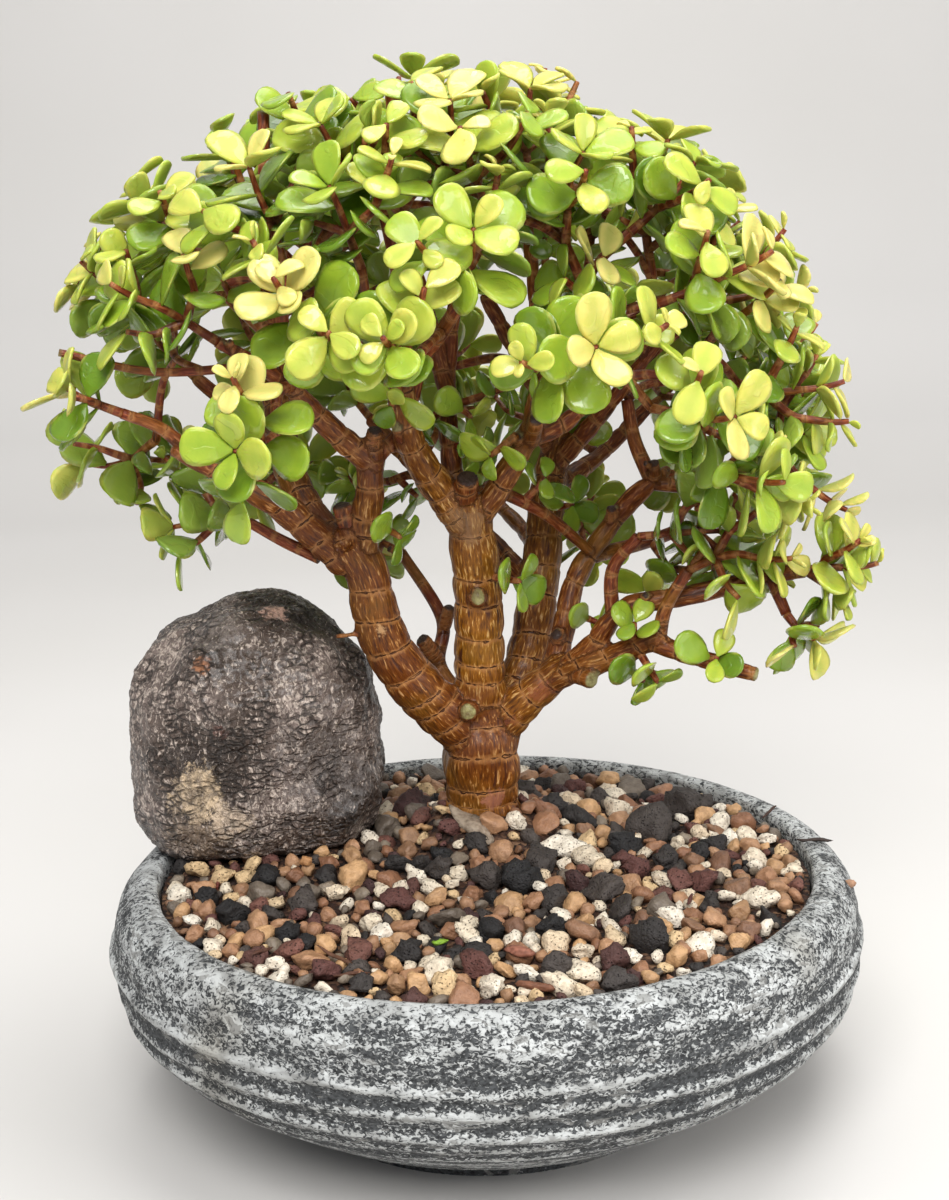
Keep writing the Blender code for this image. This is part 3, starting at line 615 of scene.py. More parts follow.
# Kinds of grain: share of the count, how lumpy, how flat, and the colours between which its grains differ.
GRAIN_KINDS = {
    "pumice": (0.22, 0.34, 0.8, [(232, 216, 190), (246, 236, 218), (222, 190, 144)]),
    "fired_clay": (0.40, 0.26, 0.85, [
        (140, 98, 72), (164, 120, 90), (186, 142, 106), (122, 88, 68), (206, 162, 116)]),
    "black_lava": (0.14, 0.46, 0.8, [(50, 46, 44), (80, 72, 67), (38, 36, 36)]),
    "red_lava": (0.13, 0.42, 0.8, [(98, 62, 56), (124, 82, 70), (72, 48, 46)]),
    "river_grit": (0.12, 0.28, 0.8, [(122, 110, 97), (100, 89, 78), (142, 128, 111)]),
}
# Large grains, by the pixel of the photograph that shows their middle, and their radius in millimetres.
LARGE_GRAINS = {
    "pumice": [
        (198, 866, 3.5), (222, 874, 3.2), (179, 894, 3.4), (230, 897, 2.5), (193, 920, 2.5), (356, 839, 3.6),
        (336, 893, 3.8), (370, 921, 3.0), (351, 938, 3.4), (459, 855, 2.6), (383, 892, 3.0), (400, 888, 2.6),
        (469, 934, 3.4), (440, 972, 4.4), (445, 987, 4.2), (420, 907, 2.5), (452, 882, 2.3), (277, 902, 2.4),
        (412, 780, 2.6), (515, 839, 2.6), (617, 808, 4.6), (563, 844, 5.2), (586, 857, 4.6), (572, 802, 3.6),
        (602, 867, 3.2), (639, 777, 2.8), (663, 880, 3.2), (669, 917, 3.8), (760, 899, 4.4), (705, 864, 2.2),
        (561, 917, 3.0), (541, 884, 2.4), (555, 943, 4.0), (531, 939, 2.8), (611, 924, 2.8), (614, 937, 3.2),
        (583, 951, 3.2), (583, 972, 4.0), (527, 972, 3.0), (676, 939, 2.8), (691, 904, 2.4), (726, 895, 2.6),
        (719, 935, 2.4), (765, 927, 2.6), (721, 822, 3.2), (699, 832, 3.0), (729, 838, 3.0), (766, 839, 3.0),
        (719, 807, 2.4), (781, 851, 2.2), (795, 867, 2.2),
    ],
    "fired_clay": [
        (352, 877, 5.0), (352, 854, 3.4), (362, 907, 2.8), (328, 858, 3.2), (325, 946, 4.0), (393, 964, 2.8),
        (395, 983, 3.0), (378, 976, 2.6), (254, 938, 3.0), (296, 872, 3.0), (428, 830, 2.6), (437, 896, 3.0),
        (466, 903, 2.6), (183, 910, 2.6), (586, 830, 3.0), (601, 832, 2.8), (607, 780, 4.0), (602, 762, 3.4),
        (533, 902, 3.0), (514, 927, 3.4), (587, 934, 4.6), (644, 893, 2.8), (642, 917, 2.4), (691, 925, 3.4),
        (716, 919, 3.6), (704, 815, 3.2), (744, 823, 3.8), (751, 845, 3.0), (749, 929, 3.4), (739, 941, 3.0),
        (678, 956, 3.2), (779, 889, 3.4), (786, 904, 2.6), (575, 902, 3.2), (685, 853, 2.6),
    ],
    "black_lava": [
        (233, 913, 4.4), (268, 872, 4.0), (208, 896, 3.8), (305, 903, 4.2), (313, 846, 4.6), (348, 824, 5.0),
        (303, 945, 4.0), (400, 863, 4.2), (438, 865, 4.0), (490, 876, 4.8), (519, 880, 6.0), (360, 983, 3.2),
        (407, 952, 4.0), (566, 757, 7.0), (654, 828, 7.5), (683, 808, 6.0), (622, 844, 5.0), (552, 812, 4.5),
        (527, 795, 4.6), (540, 859, 4.6), (652, 940, 5.8), (601, 889, 5.2), (555, 899, 4.4), (555, 967, 4.4),
        (700, 852, 3.6), (552, 927, 4.2), (623, 909, 4.2), (492, 929, 4.2), (664, 859, 3.6), (616, 982, 4.6),
    ],
    "red_lava": [
        (414, 811, 6.0), (358, 952, 4.0), (400, 900, 4.2), (476, 966, 4.2), (325, 971, 4.2), (578, 883, 3.6),
        (637, 869, 5.0), (522, 815, 4.0), (704, 882, 4.4), (681, 882, 4.0), (614, 960, 4.2), (287, 950, 3.6),
    ],
    "river_grit": [
        (385, 827, 4.6), (406, 759, 5.6), (431, 773, 4.2), (372, 845, 3.0), (260, 893, 3.6), (447, 918, 4.0),
    ],
}
# The radius of the grains that fill the space between, largest first, and how many places are tried.
GRAIN_SIZES = [(4.4, 180), (3.5, 900), (2.7, 2700), (2.1, 4500), (1.6, 7800)]
LARGE_RADIUS = 2.9
GRAIN_OVERLAP = 0.86
GRAIN_CELL = 4
GRAIN_REACH = 8
PEBBLE_SHAPES = 9
PEBBLE_FLATS = 9
MOST_TURN = 6.28


def inside_stone(point, margin):
    """True where a point lies in the stone or within a margin of it, in millimetres."""
    near, facing, _, away = stone_skin.find_nearest(point * MM)
    return away < margin * MM or (point * MM - near).dot(facing) < 0


def pack_grains():
    """Places every grain, large ones first, and returns for each kind its (place, radius) grains."""
    draw = random.Random(GRAIN_SEED)
    taken = {}
    grains = {kind: [] for kind in GRAIN_KINDS}
    kinds = list(GRAIN_KINDS)
    shares = [GRAIN_KINDS[kind][0] for kind in kinds]

    def cells_near(middle, radius):
        reach = radius + GRAIN_REACH
        return range(int((middle - reach) // GRAIN_CELL), int((middle + reach) // GRAIN_CELL) + 1)

    def is_free(x, y, radius):
        for cell in itertools.product(cells_near(x, radius), cells_near(y, radius)):
            for other_x, other_y, other in taken.get(cell, ()):
                if math.hypot(x - other_x, y - other_y) < (radius + other) * GRAIN_OVERLAP:
                    return False
        return True

    def keep(kind, x, y, radius, rise):
        place = Vector((x, y, bank_height(x, y) + rise))
        if math.hypot(x, y) > MOUTH_RADIUS - radius * 0.9:
            return
        if (Vector((x, y)) - STUMP_FOOT).length < STUMP_RADIUS + radius * 0.7:
            return
        if inside_stone(place, radius * 0.55):
            return
        taken.setdefault((int(x // GRAIN_CELL), int(y // GRAIN_CELL)), []).append((x, y, radius))
        grains[kind].append((place, radius))

    for kind, rows in LARGE_GRAINS.items():
        for across, down, radius in rows:
            place = seen_at_height(across, down, SOIL_EDGE_HEIGHT + 2)
            place = seen_at_height(across, down, bank_height(place.x, place.y) + 1)
            keep(kind, place.x, place.y, radius, 0.25 * radius)
    for radius, tries in GRAIN_SIZES:
        for _ in range(tries):
            size = radius * draw.uniform(0.8, 1.15)
            turn = draw.uniform(0, 2 * math.pi)
            reach = (MOUTH_RADIUS - size) * math.sqrt(draw.random())
            x, y = reach * math.cos(turn), reach * math.sin(turn)
            kind = draw.choices(kinds, shares)[0]
            if is_free(x, y, size):
                keep(kind, x, y, size, draw.uniform(-0.35, 0.2) * size)
    return grains


def pebble_shapes(kind, lumpiness, is_large):
    """A few pebbles of one kind, about 1 unit in radius, for the grains to be drawn from."""
    draw = random.Random(len(kind))
    shapes = bpy.data.collections.new(kind + "_shapes")
    ways, faces = round_ball(3 if is_large else 2)
    for _ in range(PEBBLE_SHAPES):
        offset = Vector([draw.uniform(0, 50) for _ in range(3)])
        squash = Vector((1, draw.uniform(0.75, 1), draw.uniform(0.65, 0.95)))
        flats = []
        for _ in range(PEBBLE_FLATS):
            way = Vector([draw.gauss(0, 1) for _ in range(3)]).normalized()
            flats.append((way, draw.uniform(0.62, 0.92)))
        points = []
        for way in ways:
            point = way * 1.08
            for facing, reach in flats:
                point = point - facing * max(0, point.dot(facing) - reach) * 0.85
            broad = noise.noise(way * 1.1 + offset) + 0.5 * noise.noise(way * 2.8 + offset)
            fine = 0.4 * noise.noise(way * 5 + offset) + 0.22 * noise.noise(way * 11 + offset)
            lump = 1 + lumpiness * broad
            lump += lumpiness * fine * is_large
            points.append(point * lump * squash)
        mesh = bpy.data.meshes.new(kind)
        mesh.from_pydata(points, [], faces)
        shapes.objects.link(bpy.data.objects.new(kind, mesh))
    return shapes


def scatter_tree():
    """Geometry nodes that set one of a collection's shapes on each point, turned and sized by its values."""
    tree = bpy.data.node_groups.new("shapes on points", "GeometryNodeTree")
    takes = {"Points": "Geometry", "Shapes": "Collection", "Finish": "Material", "Seed": "Int"}
    for name, kind in takes.items():
        tree.interface.new_socket(name, in_out="INPUT", socket_type="NodeSocket" + kind)
    tree.interface.new_socket("Pieces", in_out="OUTPUT", socket_type="NodeSocketGeometry")
    given = tree.nodes.new("NodeGroupInput").outputs
    from_shapes = {"Collection": given["Shapes"], "Separate Children": True, "Reset Children": True}
    shapes = wire(tree, "GeometryNodeCollectionInfo", from_shapes)
    choice = wire(tree, "FunctionNodeRandomValue", {"Max": 1000, "Seed": given["Seed"]}, data_type="INT")
    turn, size = (
        wire(tree, "GeometryNodeInputNamedAttribute", {"Name": name}, data_type="FLOAT_VECTOR")
        for name in ("turn", "size")
    )
    turned = wire(tree, "FunctionNodeEulerToRotation", {"Euler": turn})
    set_on = {"Points": given["Points"], "Instance": shapes, "Pick Instance": True, "Instance Index": choice}
    placed_shapes = wire(tree, "GeometryNodeInstanceOnPoints", {**set_on, "Rotation": turned, "Scale": size})
    whole = wire(tree, "GeometryNodeRealizeInstances", {"Geometry": placed_shapes})
    smooth = wire(tree, "GeometryNodeSetShadeSmooth", {"Geometry": whole})
    finished = wire(tree, "GeometryNodeSetMaterial", {"Geometry": smooth, "Material": given["Finish"]})
    tree.links.new(finished, tree.nodes.new("NodeGroupOutput").inputs[0])
    return tree


scatter = scatter_tree()


def scattered(name, rows, shapes, finish, seed, extra=()):
    """One mesh of shapes set on points. Each row is a place, turn and size, then the extra values."""
    mesh = bpy.data.meshes.new(name)
    mesh.from_pydata([tuple(c * MM for c in row[0]) for row in rows], [], [])
    for column, key in enumerate(("turn", "size", *extra), 1):
        add_values(mesh, key, np.array([row[column] for row in rows]))
    piece = placed(name, mesh)
    setting = piece.modifiers.new("scatter", "NODES")
    setting.node_group = scatter
    sockets = {item.name: item.identifier for item in scatter.interface.items_tree if item.in_out == "INPUT"}
    setting[sockets["Shapes"]] = shapes
    setting[sockets["Finish"]] = finish
    setting[sockets["Seed"]] = seed
    settle(piece)
    for shape in list(shapes.objects):
        bpy.data.objects.remove(shape)
    bpy.data.collections.remove(shapes)
    return piece


def grain_finish(kind, colours):
    """Stone of one kind: each grain has its own tone, with pores in the lavas and pumice."""
    porous = kind in ("pumice", "black_lava", "red_lava")
    made, tree, place = new_finish(kind, Roughness=0.7 if porous else 0.5)
    stops = [((number + 0.5) / len(colours), colour) for number, colour in enumerate(colours)]
    cloud = clouds(tree, place, 500.0, 4.0)
    shade = ramp(tree, cloud, [(0.3, (0.68, 0.65, 0.62, 1)), (0.6, (1, 1, 1, 1))])
    colour = mixed(tree, 1.0, ramp(tree, attribute(tree, "tone"), stops), shade, "MULTIPLY")
    pits = {"Vector": place, "Scale": 1000.0, "Width": 0.34 if porous else 0.14}
    holes = grouped(tree, pores, pits, "Mask")
    depth = grouped(tree, pores, pits, "Height")
    dark = sums(tree, 0.0, (holes, 0.75 if porous else 0.3))
    colour = mixed(tree, dark, colour, paint(84, 62, 50), "MULTIPLY")
    grit = clouds(tree, place, 1500.0, 3.0)
    relief = sums(tree, 0.0, (cloud, 0.8), (grit, 0.7), (depth, 0.8 if porous else 0.25))
    return dressed(made, Base_Color=colour, Normal=bumped(tree, relief, 0.9 if porous else 0.6, 0.9))


packed = pack_grains()
draw = random.Random(GRAIN_SEED + 1)
laid = [bowl, bed]
for number, (kind, (_, lumpiness, flatness, colours)) in enumerate(GRAIN_KINDS.items()):
    finish = grain_finish(kind, colours)
    for is_large, name in ((True, "large_"), (False, "small_")):
        rows = []
        for place, radius in packed[kind]:
            if (radius >= LARGE_RADIUS) == is_large:
                lie = (draw.uniform(-0.7, 0.7), draw.uniform(-0.7, 0.7), draw.uniform(0, MOST_TURN))
                spread = (draw.uniform(1, 1.25), draw.uniform(0.9, 1.1), draw.uniform(flatness, 1))
                rows.append((place, lie, [radius * MM * s for s in spread], draw.random()))
        shapes = pebble_shapes(kind, lumpiness, is_large)
        grains = scattered(name + kind, rows, shapes, finish, number, ["tone"])
        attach(grains, "root")
        laid.append(grains)

# Litter
# A bit of old root, chips of bark, twigs and a fallen leaf lie on the gravel, and two grains on the rim.
# Each: its middle's pixel in the photograph, its length, width and thickness, the way it points, how much it
# narrows that way, and its colour.
LITTER = [
    ((472, 826), (18, 9, 3.5), (0.75, -0.5, -0.42), -0.7, (158, 142, 124)),
    ((520, 954), (8, 3.4, 2.6), (1, -0.5, 0), 0.1, (160, 104, 84)),
    ((537, 988), (11, 2.6, 2.2), (1, -0.25, 0), 0.1, (126, 82, 60)),
    ((731, 864), (7, 2.6, 2.0), (1, -1, 0), 0.2, (56, 48, 44)),
    ((339, 959), (15, 1.0, 1.0), (0.75, -0.6, -0.2), 0.2, (104, 70, 50)),
    ((352, 975), (9, 0.9, 0.9), (1, 0.2, 0), 0.2, (92, 58, 40)),
    ((440, 943), (4.4, 2.4, 1.2), (1, 0.2, 0.1), 0.3, (128, 166, 48)),
    ((815, 841), (11, 1.3, 1.1), (1, -0.15, 0.05), 0.1, (58, 46, 40)),
    ((770, 812), (8, 0.9, 0.9), (0.6, 0.7, 0.2), 0.1, (72, 50, 40)),
    ((468, 815), (8, 1.6, 1.4), (0.6, -0.2, -0.7), 0.2, (184, 148, 118)),
    ((306, 864), (3.4, 3.0, 3.0), (1, 0, 0), 0, (184, 134, 88)),
    ((850, 886), (3.4, 2.6, 2.4), (1, 0, 0.3), 0.1, (172, 132, 104)),
    ((218, 884), (5, 1.1, 1.0), (0.2, 0.2, 0.9), 0.1, (138, 72, 60)),
    ((262, 952), (7, 1.1, 0.9), (0.7, 0.7, 0), 0.1, (88, 56, 42)),
    ((690, 900), (6, 1.1, 0.9), (0.3, 1, 0.1), 0.2, (92, 52, 44)),
    ((585, 984), (8, 1.5, 1.1), (1, 0.5, 0), 0.1, (88, 58, 46)),
]


def lying_place(across, down):
    """Where the sight line of a pixel first meets the gravel, the stone or the bowl, in millimetres."""
    hits = [piece.ray_cast(EYE * MM, sight_line(across, down)) for piece in laid]
    return min((where / MM for found, where, _, _ in hits if found), key=lambda where: (where - EYE).length)


def litter_finish():
    made, tree, place = new_finish("litter", Roughness=0.7)
    cloud = clouds(tree, place, 700.0, 4.0)
    shade = ramp(tree, cloud, [(0.3, (0.5, 0.46, 0.42, 1)), (0.6, (1, 1, 1, 1))])
    colour = mixed(tree, 1.0, attribute(tree, "hue", "Vector"), shade, "MULTIPLY")
    return dressed(made, Base_Color=colour, Normal=bumped(tree, cloud, 0.5, 0.8))


def build_litter():
    """Every bit as a lumpy, slightly bent ball, stretched to its size, with its colour kept at its points."""
    ways, sides = round_ball(3)
    points, faces, hues = [], [], []
    for number, (pixel, (length, width, thick), way_on, narrowing, colour) in enumerate(LITTER):
        faces += [tuple(corner + len(points) for corner in side) for side in sides]
        centre = lying_place(*pixel) + Vector((0, 0, thick * 0.3))
        turn = Vector(way_on).to_track_quat("X", "Z").to_matrix()
        offset = Vector((number * 7.3, 1, 2))
        for way in ways:
            rough = 1 + 0.3 * noise.noise(way * 1.4 + offset) + 0.16 * noise.noise(way * 3.5 + offset)
            slim = 1 - narrowing * way.x
            size = Vector((way.x * length, way.y * width * slim, way.z * thick * (0.7 + 0.3 * slim)))
            shape = size * (rough / 2)
            shape.z += length * 0.06 * noise.noise(Vector((way.x * 1.2, number * 3.1, 0)))
            points.append(centre + turn @ shape)
        hues += [paint(*colour)[:3]] * len(ways)
    return mesh_piece("litter", points, faces, litter_finish(), {"hue": hues})


bpy.context.view_layer.update()
laid.append(stone)
litter = build_litter()
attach(litter, "root")

# Wood
# The stump divides into three trunks at the height of the rim and they divide again into the limbs. The bark
# is smooth, orange brown and damp, with fine upright cracks and a dark groove where each old leaf pair sat.
CROWN_CENTRE = Vector((-8, 16, 194))
CROWN_REACH = Vector((113, 92, 98))
SHOOT_REACH = 31
SEAT_DEPTH = 0.78
SEAT_CANDIDATES = 400
SPRAY_SPACING = 28
LOWEST_TWIG_HEIGHT = 128
DENSE_HEIGHT = 208
TWIG_TIP_RADIUS = 1.3
# The finer twigs, between those of the solids: the places tried, their spacing and their shoots' reach.
FINER_CANDIDATES = 1600
FINER_SPACING = 20.5
FINER_SHOOT_REACH = 29
# The height of the lowest leaves at each bearing, in degrees to the right of the front.
LOWEST_LEAVES = ([-180, -130, -90, -35, 0, 35, 90, 180], [152, 168, 178, 194, 206, 192, 142, 152])
# The height of the lowest of the finer leaves at each bearing.
WINDOW_TOP = ([-180, -110, -60, -35, 0, 35, 60, 110, 180], [158, 152, 174, 206, 214, 206, 150, 134, 158])
# The crown's upper edge, by the pixels of the photograph across and down that it passes through.
UPPER_EDGE = (
    [60, 75, 150, 265, 390, 515, 560, 605, 640, 690, 765, 805, 850],
    [300, 230, 135, 100, 75, 50, 58, 112, 122, 146, 172, 250, 372],
)
# The lower right of the crown reaches out past its dome, and the lower left is cut back in a slope.
LOBE_CENTRE = Vector((78, -4, 168))
LOBE_REACH = Vector((36, 40, 38))
SLOPE_START = Vector((-72, 0, 144))
SLOPE = 1.25
GOLDEN_TURN = math.pi * (1 + 5**0.5)
THIN_LIMB = 2.6
STOUT_SIDES = 6
BARK_VOXEL = 0.8
BARK_SEED = 3
FINE_STEP = 1.2
LIMB_FACETS = 20
TWIG_FACETS = 10
FORK_FILLET = 1.6
# About how far apart old leaf pairs sit: on the stump and twigs, on stout limbs, on thin ones and on knobs.
MARK_SPACING = 7.5
STOUT_LIMB = 4
STOUT_MARK_SPACING = 10
LIMB_MARK_SPACING = 12
KNOB_MARK_SPACING = 3
NO_END = 1e4
# Where each row of the bark's samples keeps its vectors and its numbers.
PLACE, ALONG, ACROSS, OTHER, TILT = (slice(start, start + 3) for start in range(0, 15, 3))
RADIUS, DISTANCE, END, LIMB, REDNESS = range(15, 20)
STUMP_RINGS = [
    ((0, 24, 44), 10.8), ((0, 24, 68), 11.2), ((0, 24, 74), 10.8), ((0, 24, 78), 10.2),
    ((0, 23.5, 86), 10.9), ((0, 23, 93), 11.2), ((0, 23, 100), 11.3), ((0, 22, 106), 8.5),
]
# Each limb: sides, radius at its start and end, and the points that its axis passes through.
LIMBS = {
    "left limb": (8, 8.0, 6.0, [
        (-3, 21, 98), (-17, 14, 114), (-27, 8, 131), (-31, 5, 151), (-35, 4, 160)]),
    "left rear limb": (7, 5.2, 3.6, [
        (-34, 5, 155), (-44, 10, 164), (-52, 20, 177), (-57, 34, 198), (-60, 42, 212)]),
    "left low limb": (7, 5.0, 2.4, [
        (-36, 5, 154), (-52, 2, 170), (-60, -4, 177), (-70, -10, 184), (-80, -15, 191)]),
    "left front limb": (7, 4.3, 3.7, [(-33, 4, 152), (-30, 2, 168), (-28, 0, 186)]),
    "left front fork": (5, 3.6, 2.0, [
        (-28, 0, 183), (-39, -4, 194), (-48, -9, 206), (-50, -13, 224), (-48, -16, 238)]),
    "left front tip": (4, 2.4, 1.6, [(-47, -8, 204), (-56, -14, 212), (-66, -19, 219)]),
    "inner left fork": (4, 2.6, 1.8, [(-28, 0, 184), (-19, 4, 192), (-15, 8, 206)]),
    "middle trunk": (8, 7.6, 6.4, [(0, 23, 98), (0, 20, 114), (0, 16, 144), (-2, 12, 168)]),
    "middle left limb": (7, 5.2, 2.8, [
        (-2, 12, 162), (-9, 9, 172), (-17, 0, 188), (-19, -8, 204), (-18, -16, 226)]),
    "middle rear limb": (4, 3.2, 1.8, [(-4, 13, 166), (-7, 16, 187), (-6, 17, 212), (-3, 17, 232)]),
    "middle right limb": (5, 3.9, 2.4, [
        (-1, 12, 163), (5, 10, 171), (15, 4, 189), (19, -4, 203), (30, -12, 220)]),
    "middle right fork": (4, 2.8, 1.9, [(14, 5, 187), (26, 9, 192), (38, 13, 203)]),
    "rear right trunk": (8, 7.0, 4.4, [
        (3, 25, 98), (14, 33, 117), (19, 40, 142), (22, 45, 168), (29, 52, 193)]),
    "rear right top": (5, 3.8, 2.2, [(28, 51, 189), (34, 50, 206), (34, 44, 228)]),
    "rear left limb": (5, 3.6, 2.2, [(18, 39, 136), (2, 56, 152), (-16, 68, 168), (-32, 72, 186)]),
    "rear low limb": (4, 2.8, 1.9, [(19, 41, 148), (14, 62, 152), (4, 78, 160)]),
    "rear far limb": (5, 3.4, 2.0, [(22, 45, 166), (38, 60, 174), (54, 66, 188)]),
    "rear upper limb": (5, 3.6, 2.0, [(27, 50, 184), (16, 62, 202), (4, 62, 224)]),
    "left far limb": (4, 3.0, 1.9, [(-55, 27, 188), (-68, 42, 192), (-82, 46, 203)]),
    "right limb": (8, 6.8, 4.8, [(2, 22, 98), (13, 19, 109), (24, 16, 119)]),
    "right low limb": (5, 3.9, 3.0, [(19, 17, 114), (30, 10, 121), (40, 5, 126), (51, -3, 133)]),
    "right low end": (5, 2.9, 2.1, [(48, -1, 131), (58, -6, 128), (67, -10, 126), (76, -14, 124)]),
    "right low shoot": (4, 2.2, 1.7, [(50, -2, 131), (52, -3, 141), (58, -5, 152)]),
    "right long limb": (5, 3.4, 2.3, [
        (20, 17, 115), (32, 10, 127), (41, 5, 139), (58, 2, 143), (74, 0, 147), (90, -4, 151)]),
    "right long shoot": (4, 2.2, 1.7, [(38, 6, 135), (38, 6, 150), (45, 3, 160)]),
    "right rear limb": (5, 3.6, 2.7, [
        (18, 18, 112), (24, 22, 126), (29, 29, 143), (43, 33, 162), (54, 33, 172)]),
    "right rear top": (4, 2.4, 1.8, [(52, 33, 170), (47, 35, 182), (45, 37, 194)]),
    "right rear end": (4, 2.4, 1.8, [(52, 33, 170), (62, 32, 169), (75, 32, 170)]),
    "right far limb": (4, 2.4, 1.8, [(34, 31, 149), (54, 44, 151), (74, 48, 158)]),
    "crossing twig": (4, 1.9, 1.5, [(6, 11, 173), (20, 19, 164), (33, 28, 151)]),
    "small rear limb": (4, 2.4, 1.7, [(-3, 26, 105), (-12, 35, 116), (-11, 41, 129), (-23, 53, 147)]),
    "low left twig": (4, 1.9, 1.5, [(-44, 5, 156), (-54, 9, 160), (-64, 13, 165)]),
    "left upper limb": (4, 2.3, 1.6, [(-49, -12, 216), (-60, -8, 226), (-72, -2, 237)]),
    "left rear top": (4, 2.8, 1.8, [(-58, 40, 207), (-56, 38, 222), (-46, 34, 240)]),
    "cut leader": (5, 2.9, 2.1, [(-6, 16, 196), (-12, 15, 220), (-18, 8, 250), (-19, 2, 284)]),
    "cut left top": (4, 1.9, 1.6, [(-49, -12, 218), (-53, -6, 248), (-53, -1, 277)]),
    "left low end": (4, 2.2, 1.5, [(-72, -11, 185), (-82, -16, 196), (-92, -19, 201)]),
    "dry twig": (4, 1.3, 1.0, [(-57, -15, 212), (-84, -13, 211), (-108, -16, 217)]),
    "middle front limb": (4, 2.4, 1.7, [(-19, -9, 206), (-8, -24, 220), (-2, -34, 230)]),
    "right upper limb": (4, 2.6, 1.7, [(20, -4, 204), (18, 6, 224), (16, 10, 246)]),
    "right crown limb": (4, 3.0, 1.8, [(23, 46, 172), (42, 34, 196), (56, 24, 216)]),
    "right hanging twig": (4, 1.9, 1.5, [(81, -2, 149), (83, -4, 144), (85, -6, 139)]),
}
BARE_ENDS = ("cut leader", "cut left top", "dry twig", "right low end")
# How far the bark of a limb is from orange brown (0) to red brown (1), and 1 is dead wood.
PLAIN_REDNESS = 0.6
STUMP_REDNESS = 0.85
LIMB_REDNESS = {
    "left limb": 0.9, "middle trunk": 0.15, "middle left limb": 0.4, "rear right trunk": 0.45,
    "right limb": 0.45, "left low limb": 0.9, "left rear limb": 0.9, "left front limb": 0.7,
}
DEAD_STUBS = (0, 1, 2, 7)
# Small dead knobs where buds were rubbed off: the photograph's pixels at their foot and tip, and radius.
KNOBS = [
    ((372, 444), (375, 429), 2.4), ((521, 450), (516, 436), 2.1), ((543, 454), (541, 440), 2.0),
    ((616, 522), (612, 507), 2.1), ((430, 662), (421, 638), 2.6), ((444, 628), (450, 606), 2.2),
    ((362, 637), (334, 636), 1.0), ((396, 560), (388, 548), 1.4), ((568, 640), (556, 634), 2.4),
    ((640, 604), (646, 594), 1.6), ((700, 560), (706, 548), 1.4), ((232, 352), (228, 340), 1.6),
    ((590, 372), (598, 362), 1.4), ((652, 470), (644, 462), 1.6),
]
# Discoloured places on the bark: where, radius, colour and how much they cover.
BARK_SPOTS = [
    ((-3, 5, 164), 5, (160, 126, 90), 0.4), ((3, 13, 80), 3.4, (164, 108, 88), 0.6),
    ((18, 9, 112), 5, (152, 84, 58), 0.5), ((8, 10, 104), 4, (148, 86, 60), 0.45),
    ((-28, 2, 136), 2.2, (214, 170, 120), 0.6),
]
# Stubs of cut limbs: foot, top and radius.
CUT_STUBS = [
    ((-34, 5, 156), (-37, 1, 172), 2.8),
    ((-3, 11, 168), (-2, 3, 178), 3.4),
    ((16, 3, 188), (17, -5, 195), 2.4),
    ((-17, 0, 186), (-21, -6, 194), 2.2),
    ((0, 17, 140), (0, 7, 143), 2.6),
    ((-2, 21, 106), (-4, 8, 109), 2.8),
    ((24, 15, 118), (32, 3, 119), 2.6),
    ((53, 33, 170), (52, 28, 177), 2.2),
]


def smooth_path(points, step):
    """Points about one step apart on a Catmull-Rom curve through the given points."""
    knots = [Vector(p) for p in points]
    knots = [knots[0] * 2 - knots[1], *knots, knots[-1] * 2 - knots[-2]]
    path = []
    for before, start, end, after in zip(knots, knots[1:], knots[2:], knots[3:]):
        parts = max(1, round((end - start).length / step))
        for part in range(parts):
            t = part / parts
            bend = (2 * before - 5 * start + 4 * end - after) * t * t
            turn = (3 * start - before - 3 * end + after) * t * t * t
            path.append(0.5 * (2 * start + (end - before) * t + bend + turn))
    path.append(knots[-2])
    return path


def square_to(along, across):
    return (across - along * across.dot(along)).normalized()


def frames_along(path):
    """Each point of a path, the way on and two ways across, turned as little as possible each time."""
    across = Vector((0.3, 1, 0.2))
    for index, place in enumerate(path):
        along = (path[min(index + 1, len(path) - 1)] - path[max(index - 1, 0)]).normalized()
        across = square_to(along, across)
        yield place, along, across, along.cross(across)


def rings_along(path, radii, sides):
    """The rings of points of a tube."""
    rings = []
    turns = [2 * math.pi * side / sides for side in range(sides)]
    for (place, _, across, other), radius in zip(frames_along(path), radii):
        rings.append([place + (across * math.cos(a) + other * math.sin(a)) * radius for a in turns])
    return rings


def share_of(point, centre, reach):
    """A point's place in an ellipsoid: 1 long on its surface."""
    return Vector([c / r for c, r in zip(point - centre, reach)])


def depth_in_crown(point, margin):
    """0 at the middle of the crown, 1 on the surface that lies a margin inside the leaf tips."""
    return share_of(point, CROWN_CENTRE, CROWN_REACH - Vector((margin, margin, margin))).length


def bearing_of(point):
    """Where a point lies round the crown, in degrees to the right of the front."""
    return math.degrees(math.atan2(point.x - CROWN_CENTRE.x, CROWN_CENTRE.y - point.y))


def is_leafy(point):
    """True where the crown carries leaves: it is open low down at the front, over the trunks."""
    return point.z > np.interp(bearing_of(point), *LOWEST_LEAVES)


def is_trimmed(point):
    """True out of the crown's outline, or low down at its front, where the limbs show between few leaves."""
    across, down = pixel_of(point)
    if down < np.interp(across, *UPPER_EDGE):
        return True
    if depth_in_crown(point, 0) > 1 and share_of(point, LOBE_CENTRE, LOBE_REACH).length > 1:
        return True
    slope = SLOPE_START.z + SLOPE * (SLOPE_START.x - point.x)
    is_under_slope = point.x < SLOPE_START.x and point.z < slope
    return is_under_slope or point.z < np.interp(bearing_of(point), *WINDOW_TOP)


def limb_tubes():
    """The limbs as (path, radii, sides), at the coarse step of their solid."""
    tubes = []
    for sides, start, end, points in LIMBS.values():
        is_stout = sides > STOUT_SIDES
        path = smooth_path(points, 9 if is_stout else 16)
        radii = np.linspace(start, end, len(path))
        if is_stout:
            radii = [r * (1.04 if index % 2 else 0.96) for index, r in enumerate(radii)]
        tubes.append((path, list(radii), sides))
    return tubes


